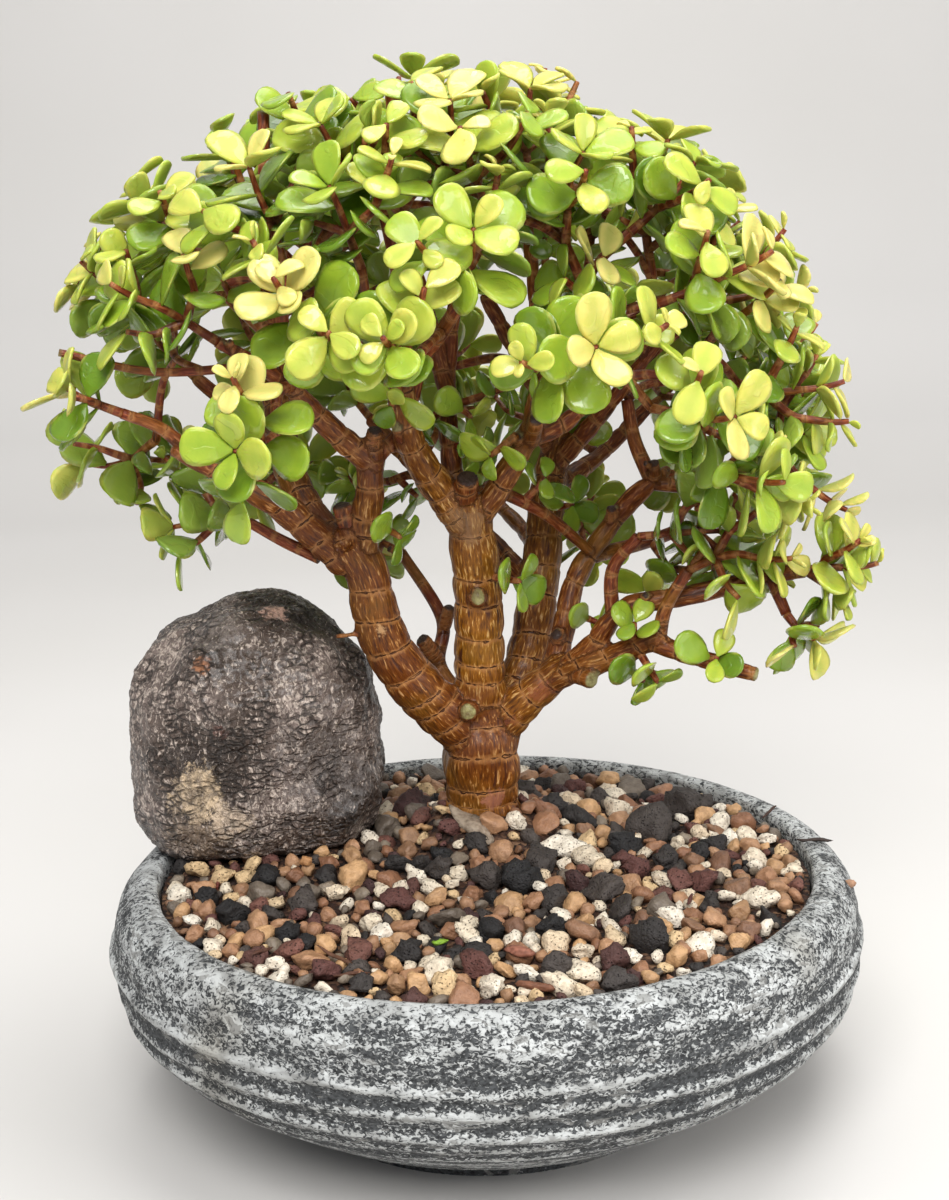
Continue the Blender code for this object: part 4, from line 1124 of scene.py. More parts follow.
def joints_and_ends(tubes):
    """Where twigs may leave the limbs, and the limb ends that carry a spray."""
    joints, seats = [], []
    for name, (path, radii, _) in zip(LIMBS, tubes):
        is_seat = depth_in_crown(path[-1], SHOOT_REACH) > SEAT_DEPTH and radii[-1] < 2.5
        is_seat = is_seat and name not in BARE_ENDS
        for index in range(1, len(path) - is_seat):
            along = (path[index] - path[index - 1]).normalized()
            if radii[index] < 5.5 and path[index].z > LOWEST_TWIG_HEIGHT:
                joints.append((path[index], along, radii[index]))
        if is_seat:
            seats.append((path[-1], (path[-1] - path[-2]).normalized()))
    return joints, seats


def spread_twigs(joints, seats, candidates, spacing, margin, is_fine=False):
    """Adds twigs whose ends fill the crown evenly, each from the joint that suits it, and their seats."""
    twigs = []
    for index in range(candidates):
        height = 1 - 2 * (index + 0.5) / candidates
        turn = GOLDEN_TURN * index
        flat = math.sqrt(1 - height * height)
        way = Vector((flat * math.cos(turn), flat * math.sin(turn), height))
        reach = CROWN_REACH - Vector((margin, margin, margin))
        seat = CROWN_CENTRE + Vector([w * r for w, r in zip(way, reach)])
        least = spacing * 0.86 if is_fine and seat.z > DENSE_HEIGHT else spacing
        if not is_leafy(seat) or any((seat - other).length < least for other, _ in seats):
            continue
        if is_fine and is_trimmed(seat):
            continue
        start, along, radius = min(joints, key=lambda joint: twig_cost(seat, *joint))
        span = seat - start
        middle = start + (along * 0.5 + span.normalized() * 0.5) * span.length * 0.45
        steps = max(2, round(span.length / 18))
        path = []
        for step in range(steps + 1):
            t = step / steps
            path.append(start * (1 - t) ** 2 + middle * 2 * t * (1 - t) + seat * t * t)
        thick = min(radius * 0.8, 1.5 + span.length * 0.012)
        radii = list(np.linspace(thick, TWIG_TIP_RADIUS, steps + 1))
        twigs.append((path, radii, 4))
        joints += [(p, (p - q).normalized(), r) for p, q, r in zip(path[1:-1], path, radii[1:])]
        seats.append((seat, (path[-1] - path[-2]).normalized()))
    return twigs


def twig_cost(seat, point, along, radius):
    """Low for a near limb that already points towards the seat."""
    span = seat - point
    return span.length * (1.5 - 0.5 * along.dot(span.normalized())) + radius


def seen_limb(across, down, rows):
    """The number of the limb sample that shows at a pixel of the photograph, and how far off it is."""
    line = np.array(sight_line(across, down))
    offsets = rows[:, PLACE] - np.array(EYE)
    depths = offsets @ line
    off = np.linalg.norm(offsets - depths[:, None] * line, axis=1)
    best = int((np.maximum(0, off - rows[:, RADIUS] * 0.7) * 4 + depths * 0.1).argmin())
    return best, depths[best]


def toward(pixel, from_pixel, depth):
    """The point on one pixel's sight line as far off as a depth along another's."""
    ahead = sight_line(*pixel)
    return EYE + ahead * (depth / ahead.dot(sight_line(*from_pixel)))


def fine_tube(points, radii, step=FINE_STEP):
    """The same axis at a finer step, as (points, radii)."""
    rows = smooth_path([(*point, radius) for point, radius in zip(points, radii)], step)
    return [row.xyz for row in rows], [row.w for row in rows]


def leaf_marks(length, draw, widest):
    """Distances along a limb at which old leaf pairs left a groove, wider apart towards its end."""
    marks = [-draw.uniform(2, widest)]
    while marks[-1] < length + widest:
        marks.append(marks[-1] + draw.uniform(0.6, 1.1) * widest * (0.55 + max(0, marks[-1]) / 55))
    return marks


class Bark:
    """The axes of all limbs, sampled finely, from which the bark's pattern is laid over their skin."""

    def __init__(self):
        self.draw = random.Random(BARK_SEED)
        self.rows = []
        self.marks = []

    def add(self, path, radii, widest=MARK_SPACING, is_cut=False, redness=PLAIN_REDNESS):
        """Keeps a limb's samples and the places of its old leaf pairs, and returns its path and radii."""
        lengths = [0]
        for here, there in zip(path, path[1:]):
            lengths.append(lengths[-1] + (there - here).length)
        limb = len(self.marks)
        self.marks.append(leaf_marks(lengths[-1], self.draw, widest))
        tilt = [self.draw.uniform(-0.25, 0.25) for _ in range(3)]
        end = lengths[-1] if is_cut else NO_END
        for vectors, radius, length in zip(frames_along(path), radii, lengths):
            numbers = radius, length, end, limb, redness
            self.rows.append([*itertools.chain(*vectors), *Vector(tilt), *numbers])
        return path, radii

    def closed(self):
        self.rows = np.array(self.rows)


def nearest_samples(points, rows):
    """For each point its nearest limb sample, and how much farther off the next limb's skin is."""
    best, gap = [], []
    places = rows[:, PLACE]
    for start in range(0, len(points), 1500):
        block = points[start : start + 1500]
        squares = (block**2).sum(1)[:, None] + (places**2).sum(1) - 2 * block @ places.T
        away = np.sqrt(np.maximum(squares, 0)) - rows[:, RADIUS]
        near = away.argmin(1)
        low = away[np.arange(len(block)), near]
        away[rows[near, LIMB][:, None] == rows[:, LIMB]] = 1e3
        best.append(near)
        gap.append(away.min(1) - low)
    return np.concatenate(best), np.concatenate(gap)


def relaxed(points, edges, weights, rounds):
    """Draws each point towards the mean of its neighbours, by its weight."""
    ends = np.concatenate([edges, edges[:, ::-1]])
    count = np.bincount(ends[:, 0], minlength=len(points))[:, None]
    for _ in range(rounds):
        axes = range(points.shape[1])
        sums_of = [np.bincount(ends[:, 0], points[ends[:, 1], axis], len(points)) for axis in axes]
        points = points + (np.stack(sums_of, 1) / count - points) * weights[:, None]
    return points


def got(items, name, width=3):
    """The values of a mesh's points or edges, one row for each."""
    values = np.empty(len(items) * width, np.int32 if name == "vertices" else np.float32)
    items.foreach_get(name, values)
    return values.reshape(-1, width)


def move_points(mesh, points):
    mesh.vertices.foreach_set("co", (points * MM).astype(np.float32).ravel())
    mesh.update()


def phases(level, limbs, all_marks):
    """How many old leaf pairs lie below each point on its limb, and the way from one to the next there."""
    phase, spacing = np.zeros(len(level)), np.zeros(len(level))
    for limb, marks in enumerate(all_marks):
        own = limbs == limb
        phase[own] = np.interp(level[own], marks, np.arange(len(marks)))
        steps = np.diff(marks)
        spacing[own] = steps[np.clip(phase[own].astype(int), 0, len(steps) - 1)]
    return phase, spacing


def stump_folds(points):
    """How far the stump's folds stand out at each point, in millimetres."""
    folds = []
    for x, y, z in points:
        way = Vector((x - STUMP_FOOT.x, y - STUMP_FOOT.y, 0)).normalized()
        fold = 2.0 * noise.noise(way * 1.2 + Vector((0, 3, z * 0.05)))
        folds.append(fold + 1.0 * noise.noise(way * 2.7 + Vector((5, 0, z * 0.11))))
    return np.array(folds)


def lay_bark(piece, bark, relief):
    """Rounds the forks, raises the bark between its grooves and stores the pattern's values."""
    mesh = piece.data
    points = got(mesh.vertices, "co").astype(float) / MM
    edges = got(mesh.edges, "vertices", 2)
    halves = np.full(len(points), 0.5)
    near, gap = nearest_samples(points, bark.rows)
    fork = np.exp(-np.maximum(gap, 0) / FORK_FILLET)
    if relief:
        points = relaxed(points, edges, halves, 2)
        points = relaxed(points, edges, fork * 0.6, 14)
        move_points(mesh, points)
    normals = got(mesh.vertices, "normal").astype(float)
    row = bark.rows[near]
    off = points - row[:, PLACE]
    along = row[:, DISTANCE] + (off * row[:, ALONG]).sum(1)
    cross = [(off * row[:, way]).sum(1) for way in (ACROSS, OTHER)]
    phase, spacing = phases(along + (off * row[:, TILT]).sum(1), row[:, LIMB], bark.marks)
    turn = 2 * math.pi * phase
    girth = row[:, RADIUS]
    scar = np.clip((along - row[:, END] + 0.9) / 0.4, 0, 1)
    if relief:
        stoutness = np.minimum(1, girth / 4)
        swell = 0.13 * np.sqrt(girth) * (0.5 - 0.5 * np.cos(turn)) ** 0.5
        groove = -0.2 * np.clip((np.cos(turn) - 0.8) / 0.2, 0, 1) * stoutness
        lumps = [noise.noise(Vector(p) * 0.11) * 0.5 + noise.noise(Vector(p) * 0.35) * 0.22 for p in points]
        lift = (swell + groove) * (1 - fork) * (1 - scar) + np.array(lumps) * stoutness
        lift += stump_folds(points) * (row[:, LIMB] == 0)
        points = points + normals * lift[:, None]
        move_points(mesh, points)
    add_values(mesh, "ring", np.stack([np.cos(turn), np.sin(turn), spacing], 1))
    add_values(mesh, "grain", np.stack([*cross, along + 90 * row[:, LIMB]], 1) * MM)
    for name, values in (("girth", girth), ("scar", scar), ("fork", fork)):
        add_values(mesh, name, values)
    add_values(mesh, "redness", relaxed(row[:, REDNESS, None], edges, halves, 6)[:, 0])
    mesh.shade_smooth()


def parts_of(tree, name):
    """The parts X, Y and Z of a vector that is kept for each point."""
    vector = attribute(tree, name, "Vector")
    return wire(tree, "ShaderNodeSeparateXYZ", {"Vector": vector}).node.outputs


def bark_finish():
    """Orange to red-brown bark: upright strokes and cracks, a groove with a pale edge at each old leaf pair,
    redder young wood, olive and dull places, painted shade darkening the forks between limbs, and dry cut
    ends."""
    made, tree, place = new_finish("bark", Specular_IOR_Level=0.28, Coat_Weight=0.11, Coat_Roughness=0.2)
    ring = parts_of(tree, "ring")
    grain, girth = attribute(tree, "grain", "Vector"), attribute(tree, "girth")
    turn = maths(tree, "ABSOLUTE", maths(tree, "ARCTAN2", ring["Y"], ring["X"]))
    off = maths(tree, "MULTIPLY", turn, ring["Z"])
    ragged = clouds(tree, place, 420.0, 3.0)
    off = maths(tree, "ABSOLUTE", sums(tree, -1.1, (off, 1 / (2 * math.pi)), (ragged, 2.2)))
    whole = spanned(tree, clouds(tree, place, 95.0), 0.36, 0.48, least=0.5)
    stout = spanned(tree, girth, 1.2, 3.6, least=0.3)
    groove = spanned(tree, off, 0.02, 0.32, 1.0, 0.0, interpolation_type="SMOOTHSTEP")
    groove = maths(tree, "MULTIPLY", maths(tree, "MULTIPLY", groove, whole), stout)
    edge = spanned(tree, off, 0.35, 1.2, 0.6, 0.0)
    strokes = clouds(tree, stretched(tree, grain, (1, 1, 0.2)), 1500.0, 3.0, distortion=0.4)
    cracks = clouds(tree, stretched(tree, grain, (1, 1, 0.13)), 560.0, 4.0, distortion=0.6)
    old = ramp(tree, strokes, [
        (0.30, (84, 48, 12)), (0.46, (136, 84, 20)), (0.57, (160, 102, 28)),
        (0.62, (210, 160, 86)), (0.74, (238, 200, 140)),
    ])
    reddish = ramp(tree, strokes, [
        (0.30, (60, 28, 8)), (0.46, (98, 52, 14)), (0.59, (120, 66, 20)),
        (0.64, (172, 116, 60)), (0.76, (210, 164, 114)),
    ])
    young = ramp(tree, strokes, [
        (0.3, (80, 28, 18)), (0.5, (120, 50, 28)), (0.72, (172, 100, 62)),
    ])
    redness = attribute(tree, "redness")
    body = mixed(tree, spanned(tree, girth, 1.5, 4.2), young, mixed(tree, redness, old, reddish))
    broad = clouds(tree, place, 46.0, 3.0)
    # Painted shade: the bark is darkened in the forks, where the limbs meet.
    painted_fork_shade = maths(tree, "MULTIPLY", attribute(tree, "fork"), 0.45)
    overlays = [
        (spanned(tree, broad, 0.5, 0.7, most=0.6), (130, 90, 26)),
        (spanned(tree, broad, 0.5, 0.32, most=0.55), (100, 50, 16)),
        (spanned(tree, cracks, 0.40, 0.33), (74, 40, 24)),
        (edge, (184, 128, 76)),
        (groove, (66, 34, 18)),
        (painted_fork_shade, (92, 48, 26)),
    ]
    for spot, radius, colour, share in BARK_SPOTS:
        overlays.append((sums(tree, 0.0, (patch(tree, place, Vector(spot), radius), share)), colour))
    for share, colour in overlays:
        body = mixed(tree, share, body, paint(*colour))
    ended = ramp(tree, ragged, [
        (0.35, (108, 92, 58)), (0.6, (152, 146, 96)), (0.8, (176, 160, 120)),
    ])
    ended = mixed(tree, spanned(tree, redness, 0.92, 0.98), ended, paint(62, 46, 40))
    body = mixed(tree, attribute(tree, "scar"), body, ended)
    rough = spanned(tree, cracks, 0.3, 0.7, 0.36, 0.58)
    relief = sums(tree, 0.0, (strokes, 0.6), (cracks, 1.0), (groove, -0.9), (edge, 0.3))
    return dressed(made, Base_Color=body, Roughness=rough, Normal=bumped(tree, relief, 0.6, 0.9))


def tube_set(tubes, sides):
    """Closed tubes (path, radii) in one list of points and one of faces."""
    points, faces = [], []
    for path, radii in tubes:
        start = len(points)
        points += [p for ring in rings_along(path, radii, sides) for p in ring]
        faces += [tuple(v + start for v in face) for face in tube_faces(len(path), sides)]
    return points, faces


limbs = limb_tubes()
joints, seats = joints_and_ends(limbs)
twigs = spread_twigs(joints, seats, SEAT_CANDIDATES, SPRAY_SPACING, SHOOT_REACH)
solid_seats = len(seats)
more_twigs = spread_twigs(joints, seats, FINER_CANDIDATES, FINER_SPACING, FINER_SHOOT_REACH, True)
bark = Bark()
stump = fine_tube([c for c, _ in STUMP_RINGS], [r for _, r in STUMP_RINGS])
thick, thin = [bark.add(*stump, redness=STUMP_REDNESS)], []
for name, (_, start, end, points) in LIMBS.items():
    spans = [0, *np.cumsum([(Vector(b) - Vector(a)).length for a, b in zip(points, points[1:])])]
    fine = fine_tube(points, np.interp(spans, [0, spans[-1]], [start, end]))
    redness = LIMB_REDNESS.get(name, PLAIN_REDNESS)
    widest = STOUT_MARK_SPACING if start > STOUT_LIMB else LIMB_MARK_SPACING
    made = bark.add(*fine, widest=widest, is_cut=name in BARE_ENDS, redness=redness)
    (thick if start >= THIN_LIMB else thin).append(made)
for number, (start, end, radius) in enumerate(CUT_STUBS):
    redness = 1.0 if number in DEAD_STUBS else PLAIN_REDNESS
    fine = fine_tube([start, end], [radius, radius * 0.9])
    thick.append(bark.add(*fine, is_cut=True, redness=redness))
axes = np.array(bark.rows)
for foot, tip, radius in KNOBS:
    index, depth = seen_limb(*foot, axes)
    end = toward(tip, foot, depth - axes[index, RADIUS] * 0.7 - radius)
    fine = fine_tube([Vector(axes[index, PLACE]), end], [radius * 1.1, radius * 0.85])
    thick.append(bark.add(*fine, widest=KNOB_MARK_SPACING, is_cut=True, redness=1.0))
thin += [bark.add(*fine_tube(path, radii)) for path, radii, _ in twigs + more_twigs]
bark.closed()
bark_skin = bark_finish()
trunks = mesh_piece("trunks_and_limbs", *tube_set(thick, LIMB_FACETS), bark_skin)
skin = trunks.modifiers.new("skin", "REMESH")
skin.mode = "VOXEL"
skin.voxel_size = BARK_VOXEL * MM
settle(trunks)
lay_bark(trunks, bark, True)
trunks.data.materials.clear()
trunks.data.materials.append(bark_skin)
twiggery = mesh_piece("twigs", *tube_set(thin, TWIG_FACETS), bark_skin)
lay_bark(twiggery, bark, False)
for piece in (trunks, twiggery):
    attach(piece, "root")
    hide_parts("trunk_and_branches")

# Young shoots
# Soft round stems that carry the leaves in opposite pairs, each pair at right angles to the last. They grow
# where there is room: first the shoots of the solid sprays, then finer ones in the spaces between them.
GAP = 0.35
GROWTH_SEED = 11
STEM_HALF_WIDTH = 0.85
STEM_STEP = 1.5
STEM_FACETS = 7
SHORTEST_LEADER = 15
LONGEST_LEADER = 34
# Shoots that start below this height are kept shorter, so that the crown ends flat underneath.
LOW_SHOOT_HEIGHT = 168
LOW_SHOOT_SHARE = 0.7
LEADER_SHARES = (0.4, 0.33, 0.27)
SIDE_SHARES = (0.36, 0.26)
LEADER_LEAF = 15
SIDE_LEAF = 13.5
LEAF_WIDTH_SHARE = 0.8
LEAF_THICKNESS = 1.7
# The postures tried for a leaf: its tilt in degrees and its size.
LEAF_POSTURES = [
    (0, 1), (12, 1), (-12, 1), (24, 1), (-24, 0.92),
    (36, 0.92), (0, 0.8), (20, 0.75), (-30, 0.75), (45, 0.7),
]
# The right and left side of a leaf with its blunt tip, as shares of its length and half width.
LEAF_RIM = [(0.42, 0.88), (0.94, 0.64), (0.94, -0.64), (0.42, -0.88)]
# Small leaves above the last pair of a shoot: the stem below them, their length and their lift in degrees.
TIP_PAIRS = [(3.6, 11, 16), (2.4, 8.5, 26), (1.5, 4.6, 52)]
BETWEEN_POSTURES = [(0, 1), (14, 1), (-14, 1), (28, 0.9), (-28, 0.9), (0, 0.75), (40, 0.75), (-40, 0.7)]
LOOSE_GAP = 0.05
PAIR_SPACING = 6.0
TIP_POSTURES = [(0, 1), (-15, 1), (15, 0.9), (-30, 0.85), (28, 0.75), (0, 0.6)]
# Small shoots on old wood, by the length of their leaves: the pixels of the photograph where each starts and
# where its leaves are. The larger ones stand where stems would show bare in the upper crown.
SMALL_SHOOTS = {11.5: [
    ((706, 656), (712, 659)), ((642, 662), (652, 673)), ((622, 668), (636, 674)), ((578, 612), (589, 619)),
    ((628, 645), (634, 632)), ((528, 492), (538, 486)), ((556, 512), (565, 506)),
    ((446, 405), (431, 421)), ((458, 398), (464, 411)), ((472, 440), (470, 452)), ((490, 440), (499, 449)),
    ((408, 388), (395, 397)), ((560, 352), (545, 364)), ((568, 396), (577, 411)), ((484, 396), (496, 391)),
    ((818, 575), (834, 590)), ((400, 520), (392, 532)), ((396, 480), (410, 490)),
], 14: [
    ((548, 262), (540, 248)), ((560, 300), (572, 286)), ((585, 280), (596, 266)), ((655, 282), (645, 266)),
    ((655, 250), (664, 238)), ((612, 270), (599, 264)), ((572, 330), (560, 320)), ((690, 300), (680, 290)),
    ((600, 322), (612, 312)), ((548, 226), (556, 214)), ((640, 236), (630, 224)), ((300, 270), (290, 258)),
    ((262, 262), (252, 250)), ((330, 240), (338, 226)), ((240, 300), (228, 290)), ((205, 340), (196, 328)),
    ((470, 250), (462, 238)), ((690, 262), (698, 250)), ((500, 574), (511, 580)),
]}
# The opposite sides of a square stem from which a pair of leaves grows, in turn.
PAIRS = ((1, 3), (0, 2))
MOST_PIECES = 14000
EXTENT_WAYS = 64
UP = Vector((0, 0, 1))


class Room:
    """The convex pieces placed so far, with their extents along many directions, to keep new ones clear."""

    def __init__(self):
        turns = [GOLDEN_TURN * index for index in range(EXTENT_WAYS)]
        heights = [(index + 0.5) / EXTENT_WAYS for index in range(EXTENT_WAYS)]
        flats = [math.sqrt(1 - h * h) for h in heights]
        ways = [(f * math.cos(t), f * math.sin(t), h) for f, t, h in zip(flats, turns, heights)]
        self.ways = np.array(ways)
        self.low = np.empty((MOST_PIECES, EXTENT_WAYS))
        self.high = np.empty((MOST_PIECES, EXTENT_WAYS))
        self.pieces = []
        self.gap = GAP
        self.is_loose = False
        self.has_outline = False

    def add(self, points, facing):
        """Keeps a piece, and returns its number."""
        points = np.array(points)
        spread = points @ self.ways.T
        self.low[len(self.pieces)] = spread.min(axis=0)
        self.high[len(self.pieces)] = spread.max(axis=0)
        self.pieces.append((points, np.array(facing)))
        return len(self.pieces) - 1

    def is_clear(self, points, facing, joined=()):
        """True where the points lie clear of every piece but those that they grow from."""
        if self.has_outline and any(is_trimmed(point) for point in points[-4:]):
            return False
        points, facing = np.array(points), np.array(facing)
        spread = points @ self.ways.T
        low, high = spread.min(axis=0), spread.max(axis=0)
        count = len(self.pieces)
        apart = np.maximum(low - self.high[:count], self.low[:count] - high).max(axis=1)
        for index in np.nonzero(apart < self.gap)[0]:
            other, other_facing = self.pieces[index]
            if index not in joined and not separated(points, other, (facing, other_facing), self.gap):
                return False
        return True


def separated(points, other, ways, gap):
    for way in ways:
        here, there = points @ way, other @ way
        if max(here.min() - there.max(), there.min() - here.max()) >= gap:
            return True
    return False


def outward(point):
    return Vector([c / r / r for c, r in zip(point - CROWN_CENTRE, CROWN_REACH)]).normalized()


def square_ring(centre, along, across, half):
    other = along.cross(across)
    corners = ((1, 1), (-1, 1), (-1, -1), (1, -1))
    return [centre + across * (half * x) + other * (half * y) for x, y in corners]


def stem_block(start, way, across, reach, half, number=-1):
    """A short block of stem, a reach along from its start, for leaves and side shoots to grow from."""
    low, high = (square_ring(start + way * (reach + end), way, across, half) for end in (-half, half))
    return {"low": low, "high": high, "along": way, "number": number, "leaves": {}, "shoots": {}}


def grow_shoot(room, draw, base, start, along, across, internodes, target, joined):
    """A shoot as a list of nodes: short blocks of stem that leaves and side shoots grow from."""
    nodes = []
    half = STEM_HALF_WIDTH
    below = base
    for length in internodes:
        for _ in range(12):
            sway = Vector([draw.uniform(-1, 1) for _ in range(3)])
            way = (along + sway * 0.2).normalized()
            side = square_to(way, across)
            node = stem_block(start, way, side, length, half)
            block = below + node["low"] + node["high"]
            if room.is_clear(block, way, joined):
                break
        else:
            break
        node["number"] = room.add(block, way)
        joined = {node["number"]}
        nodes.append(node)
        start = start + way * length
        along = (way + target * 0.6).normalized()
        across = side
        below = node["high"]
        half *= 0.94
    return nodes


def face_frame(node, face):
    """Corners of one side of a node, its middle, the way it faces and the way along its width."""
    after = (face + 1) % 4
    corners = [node["low"][face], node["low"][after], node["high"][after], node["high"][face]]
    middle = sum(corners, Vector()) / 4
    width = (corners[0] - corners[1]).normalized()
    return corners, middle, width.cross(-node["along"]).normalized(), width


def grow_spray(room, draw, seat, way):
    """A leading shoot with two side shoots from its first node."""
    target = (outward(seat) + UP * 0.3).normalized()
    heading = (way * 0.6 + target * 0.6).normalized()
    room_ahead = 0
    while depth_in_crown(seat + heading * room_ahead, 0) < 1 and room_ahead < 40:
        room_ahead += 1
    length = min(LONGEST_LEADER, max(SHORTEST_LEADER, room_ahead - 8))
    if seat.z < LOW_SHOOT_HEIGHT:
        length *= LOW_SHOOT_SHARE
    across = square_to(way, Vector([draw.uniform(-1, 1) for _ in range(3)]))
    start = seat + way * (GAP + 0.05)
    base = square_ring(start, way, across, STEM_HALF_WIDTH)
    internodes = [length * share for share in LEADER_SHARES]
    leader_across = square_to(heading, across)
    leader = grow_shoot(room, draw, base, start, heading, leader_across, internodes, target, ())
    if not leader:
        return None
    fork = leader[0]
    for face in (0, 2):
        corners, middle, out, width = face_frame(fork, face)
        side_way = (out * 0.85 + fork["along"] * 0.5).normalized()
        others = {node["number"] for node in leader[:2]}
        others |= {fork["shoots"][0][0]["number"]} if fork["shoots"].get(0) else set()
        internodes = [length * share for share in SIDE_SHARES]
        fork["shoots"][face] = grow_shoot(
            room, draw, corners, middle, side_way, square_to(side_way, width), internodes, target, others
        )
    return {"seat": seat, "nodes": leader}


def leaf_outline(root, way, width_way, length, width):
    """Right side and left side of a spoon-shaped leaf, then the middle of its upper and lower side."""
    over = width_way.cross(way)
    points = [root + way * (length * x) + width_way * (width / 2 * y) for x, y in LEAF_RIM]
    middle = root + way * (length * 0.58)
    return points + [middle + over * (LEAF_THICKNESS / 2), middle - over * (LEAF_THICKNESS / 2)]


def is_in_quarter(points, centre, out, width_way):
    """True where the points stay between the diagonals of their node, clear of a leaf on the next side."""
    offsets = [point - centre for point in points]
    return all(abs(offset.dot(width_way)) < offset.dot(out) - GAP for offset in offsets)


def grow_leaf(room, draw, node, face, length, lift, joined, age, postures=LEAF_POSTURES):
    """Tries a few postures and sizes for one leaf, and keeps the first that is clear of everything."""
    corners, root, out, width_way = face_frame(node, face)
    centre = middle_of(node)
    twist = math.radians(draw.uniform(-14, 14))
    for tilt, size in postures:
        angle = math.radians(lift + tilt)
        way = (out * math.cos(angle) + node["along"] * math.sin(angle)).normalized()
        side = width_way * math.cos(twist) + width_way.cross(way) * math.sin(twist)
        points = leaf_outline(root, way, side, length * size, length * size * LEAF_WIDTH_SHARE)
        facing = side.cross(way)
        if not (room.is_loose or is_in_quarter(points, centre, out, width_way)):
            continue
        if room.is_clear(corners + points, facing, joined):
            joined.add(room.add(corners + points, facing))
            node["leaves"][face] = (root, way, side, length * size, age)
            return


def add_leaves(room, draw, nodes, first_length, is_leader):
    """Opposite pairs, each at right angles to the last, and a cross of two pairs at the leading tip."""
    for index, node in enumerate(nodes):
        young = (index + 1) / len(nodes)
        joined = {node["number"]} | {n["number"] for n in nodes[index + 1 : index + 2]}
        joined |= {shoot[0]["number"] for shoot in node["shoots"].values() if shoot}
        pairs = [(PAIRS[index % 2], 1, 0)]
        if is_leader and 0 < index == len(nodes) - 1:
            pairs.append((PAIRS[(index + 1) % 2], 0.8, 8))
        for pair, share, rise in pairs:
            for face in pair:
                length = first_length * share * (1.12 - 0.3 * young) * draw.uniform(0.92, 1.1)
                lift = 12 + 20 * young + rise + draw.uniform(-6, 6)
                grow_leaf(room, draw, node, face, length, lift, joined, young * 0.5)


def grow_leaves(room, draw, sprays):
    for spray in sprays:
        leader = spray["nodes"]
        add_leaves(room, draw, leader, LEADER_LEAF, True)
        for shoot in leader[0]["shoots"].values():
            add_leaves(room, draw, shoot, SIDE_LEAF, False)


def add_tip(room, draw, nodes):
    """The youngest pairs, close together above the last node of a shoot."""
    last = nodes[-1]
    half = (last["high"][0] - last["high"][1]).length / 2
    for number, (stem, length, lift) in enumerate(TIP_PAIRS):
        way = (last["along"] + UP * 0.12).normalized()
        across = square_to(way, (last["high"][0] - last["high"][1]).normalized())
        start = sum(last["high"], Vector()) / 4
        half *= 0.85
        made = stem_block(start, way, across, stem, half, last["number"])
        age = 0.62 + 0.16 * number
        for face in PAIRS[len(nodes) % 2]:
            size = length * draw.uniform(0.85, 1.15)
            lifted = lift + draw.uniform(-8, 8)
            grow_leaf(room, draw, made, face, size, lifted, {last["number"]}, age, TIP_POSTURES)
        if not made["leaves"]:
            break
        nodes.append(made)
        last = made


def add_between(room, draw, start, nodes):
    """Further pairs on the bare lengths of stem between a shoot's nodes."""
    filled = []
    for index, node in enumerate(nodes):
        end = middle_of(node)
        span = end - start
        extra = max(0, round(span.length / PAIR_SPACING) - 1)
        way = span.normalized()
        across = square_to(way, (node["low"][0] - node["low"][1]).normalized())
        half = STEM_HALF_WIDTH
        joined = {node["number"]} | {other["number"] for other in nodes[max(0, index - 1) : index + 1]}
        joined |= {shoot[0]["number"] for other in nodes[:1] for shoot in other["shoots"].values() if shoot}
        for step in range(extra):
            centre = start + span * ((step + 1) / (extra + 1))
            made = stem_block(centre, way, across, 0, half, node["number"])
            for face in PAIRS[step % 2]:
                length = draw.uniform(10.5, 14)
                age = 0.1 + 0.35 * (index + step / (extra + 1)) / len(nodes)
                grow_leaf(room, draw, made, face, length, draw.uniform(5, 30), joined, age, BETWEEN_POSTURES)
            filled.append(made)
        filled.append(node)
        start = end
    nodes[:] = filled


def all_shoots(spray):
    return [shoot for shoot in (spray["nodes"], *spray["nodes"][0]["shoots"].values()) if shoot]


def add_tubes(room, tubes):
    """Takes up the room of tubes (path, radii, sides), a block for each stretch."""
    for path, radii, sides in tubes:
        rings = rings_along(path, radii, sides)
        for start, end, low, high in zip(path, path[1:], rings, rings[1:]):
            room.add(low + high, (end - start).normalized())


def grow_sprays(room, draw, places):
    grown = [grow_spray(room, draw, seat, way) for seat, way in places]
    return [spray for spray in grown if spray]


def grow_crown():
    """The solid sprays, grown as in the solids, then the finer ones and every shoot's tip."""
    draw = random.Random(GROWTH_SEED)
    room = Room()
    stubs = [([Vector(foot), Vector(top)], [radius, radius * 0.9], 5) for foot, top, radius in CUT_STUBS]
    add_tubes(room, limbs + twigs + stubs)
    room.add([stone_point(way, False) for way in round_ball(3)[0]], UP)
    sprays = grow_sprays(room, draw, seats[:solid_seats])
    grow_leaves(room, draw, sprays)
    draw = random.Random(GROWTH_SEED + 1)
    add_tubes(room, more_twigs)
    finer = grow_sprays(room, draw, seats[solid_seats:])
    room.gap = LOOSE_GAP
    room.is_loose = True
    buds = []
    for length, rows in SMALL_SHOOTS.items():
        buds += [grow_bud(room, draw, start, end, length) for start, end in rows]
    room.has_outline = True
    grow_leaves(room, draw, finer)
    for spray in finer:
        for shoot in all_shoots(spray):
            while shoot and not (shoot[-1]["leaves"] or shoot[-1]["shoots"]):
                shoot.pop()
    for spray in sprays + finer:
        for shoot in all_shoots(spray):
            add_tip(room, draw, shoot)
    for spray in sprays + finer:
        fork = spray["nodes"][0]
        shoots = all_shoots(spray)
        for start, shoot in zip([spray["seat"], middle_of(fork), middle_of(fork)], shoots):
            add_between(room, draw, start, shoot)
        spray["shoots"] = shoots
        spray["fork"] = fork
    return sprays, finer + buds


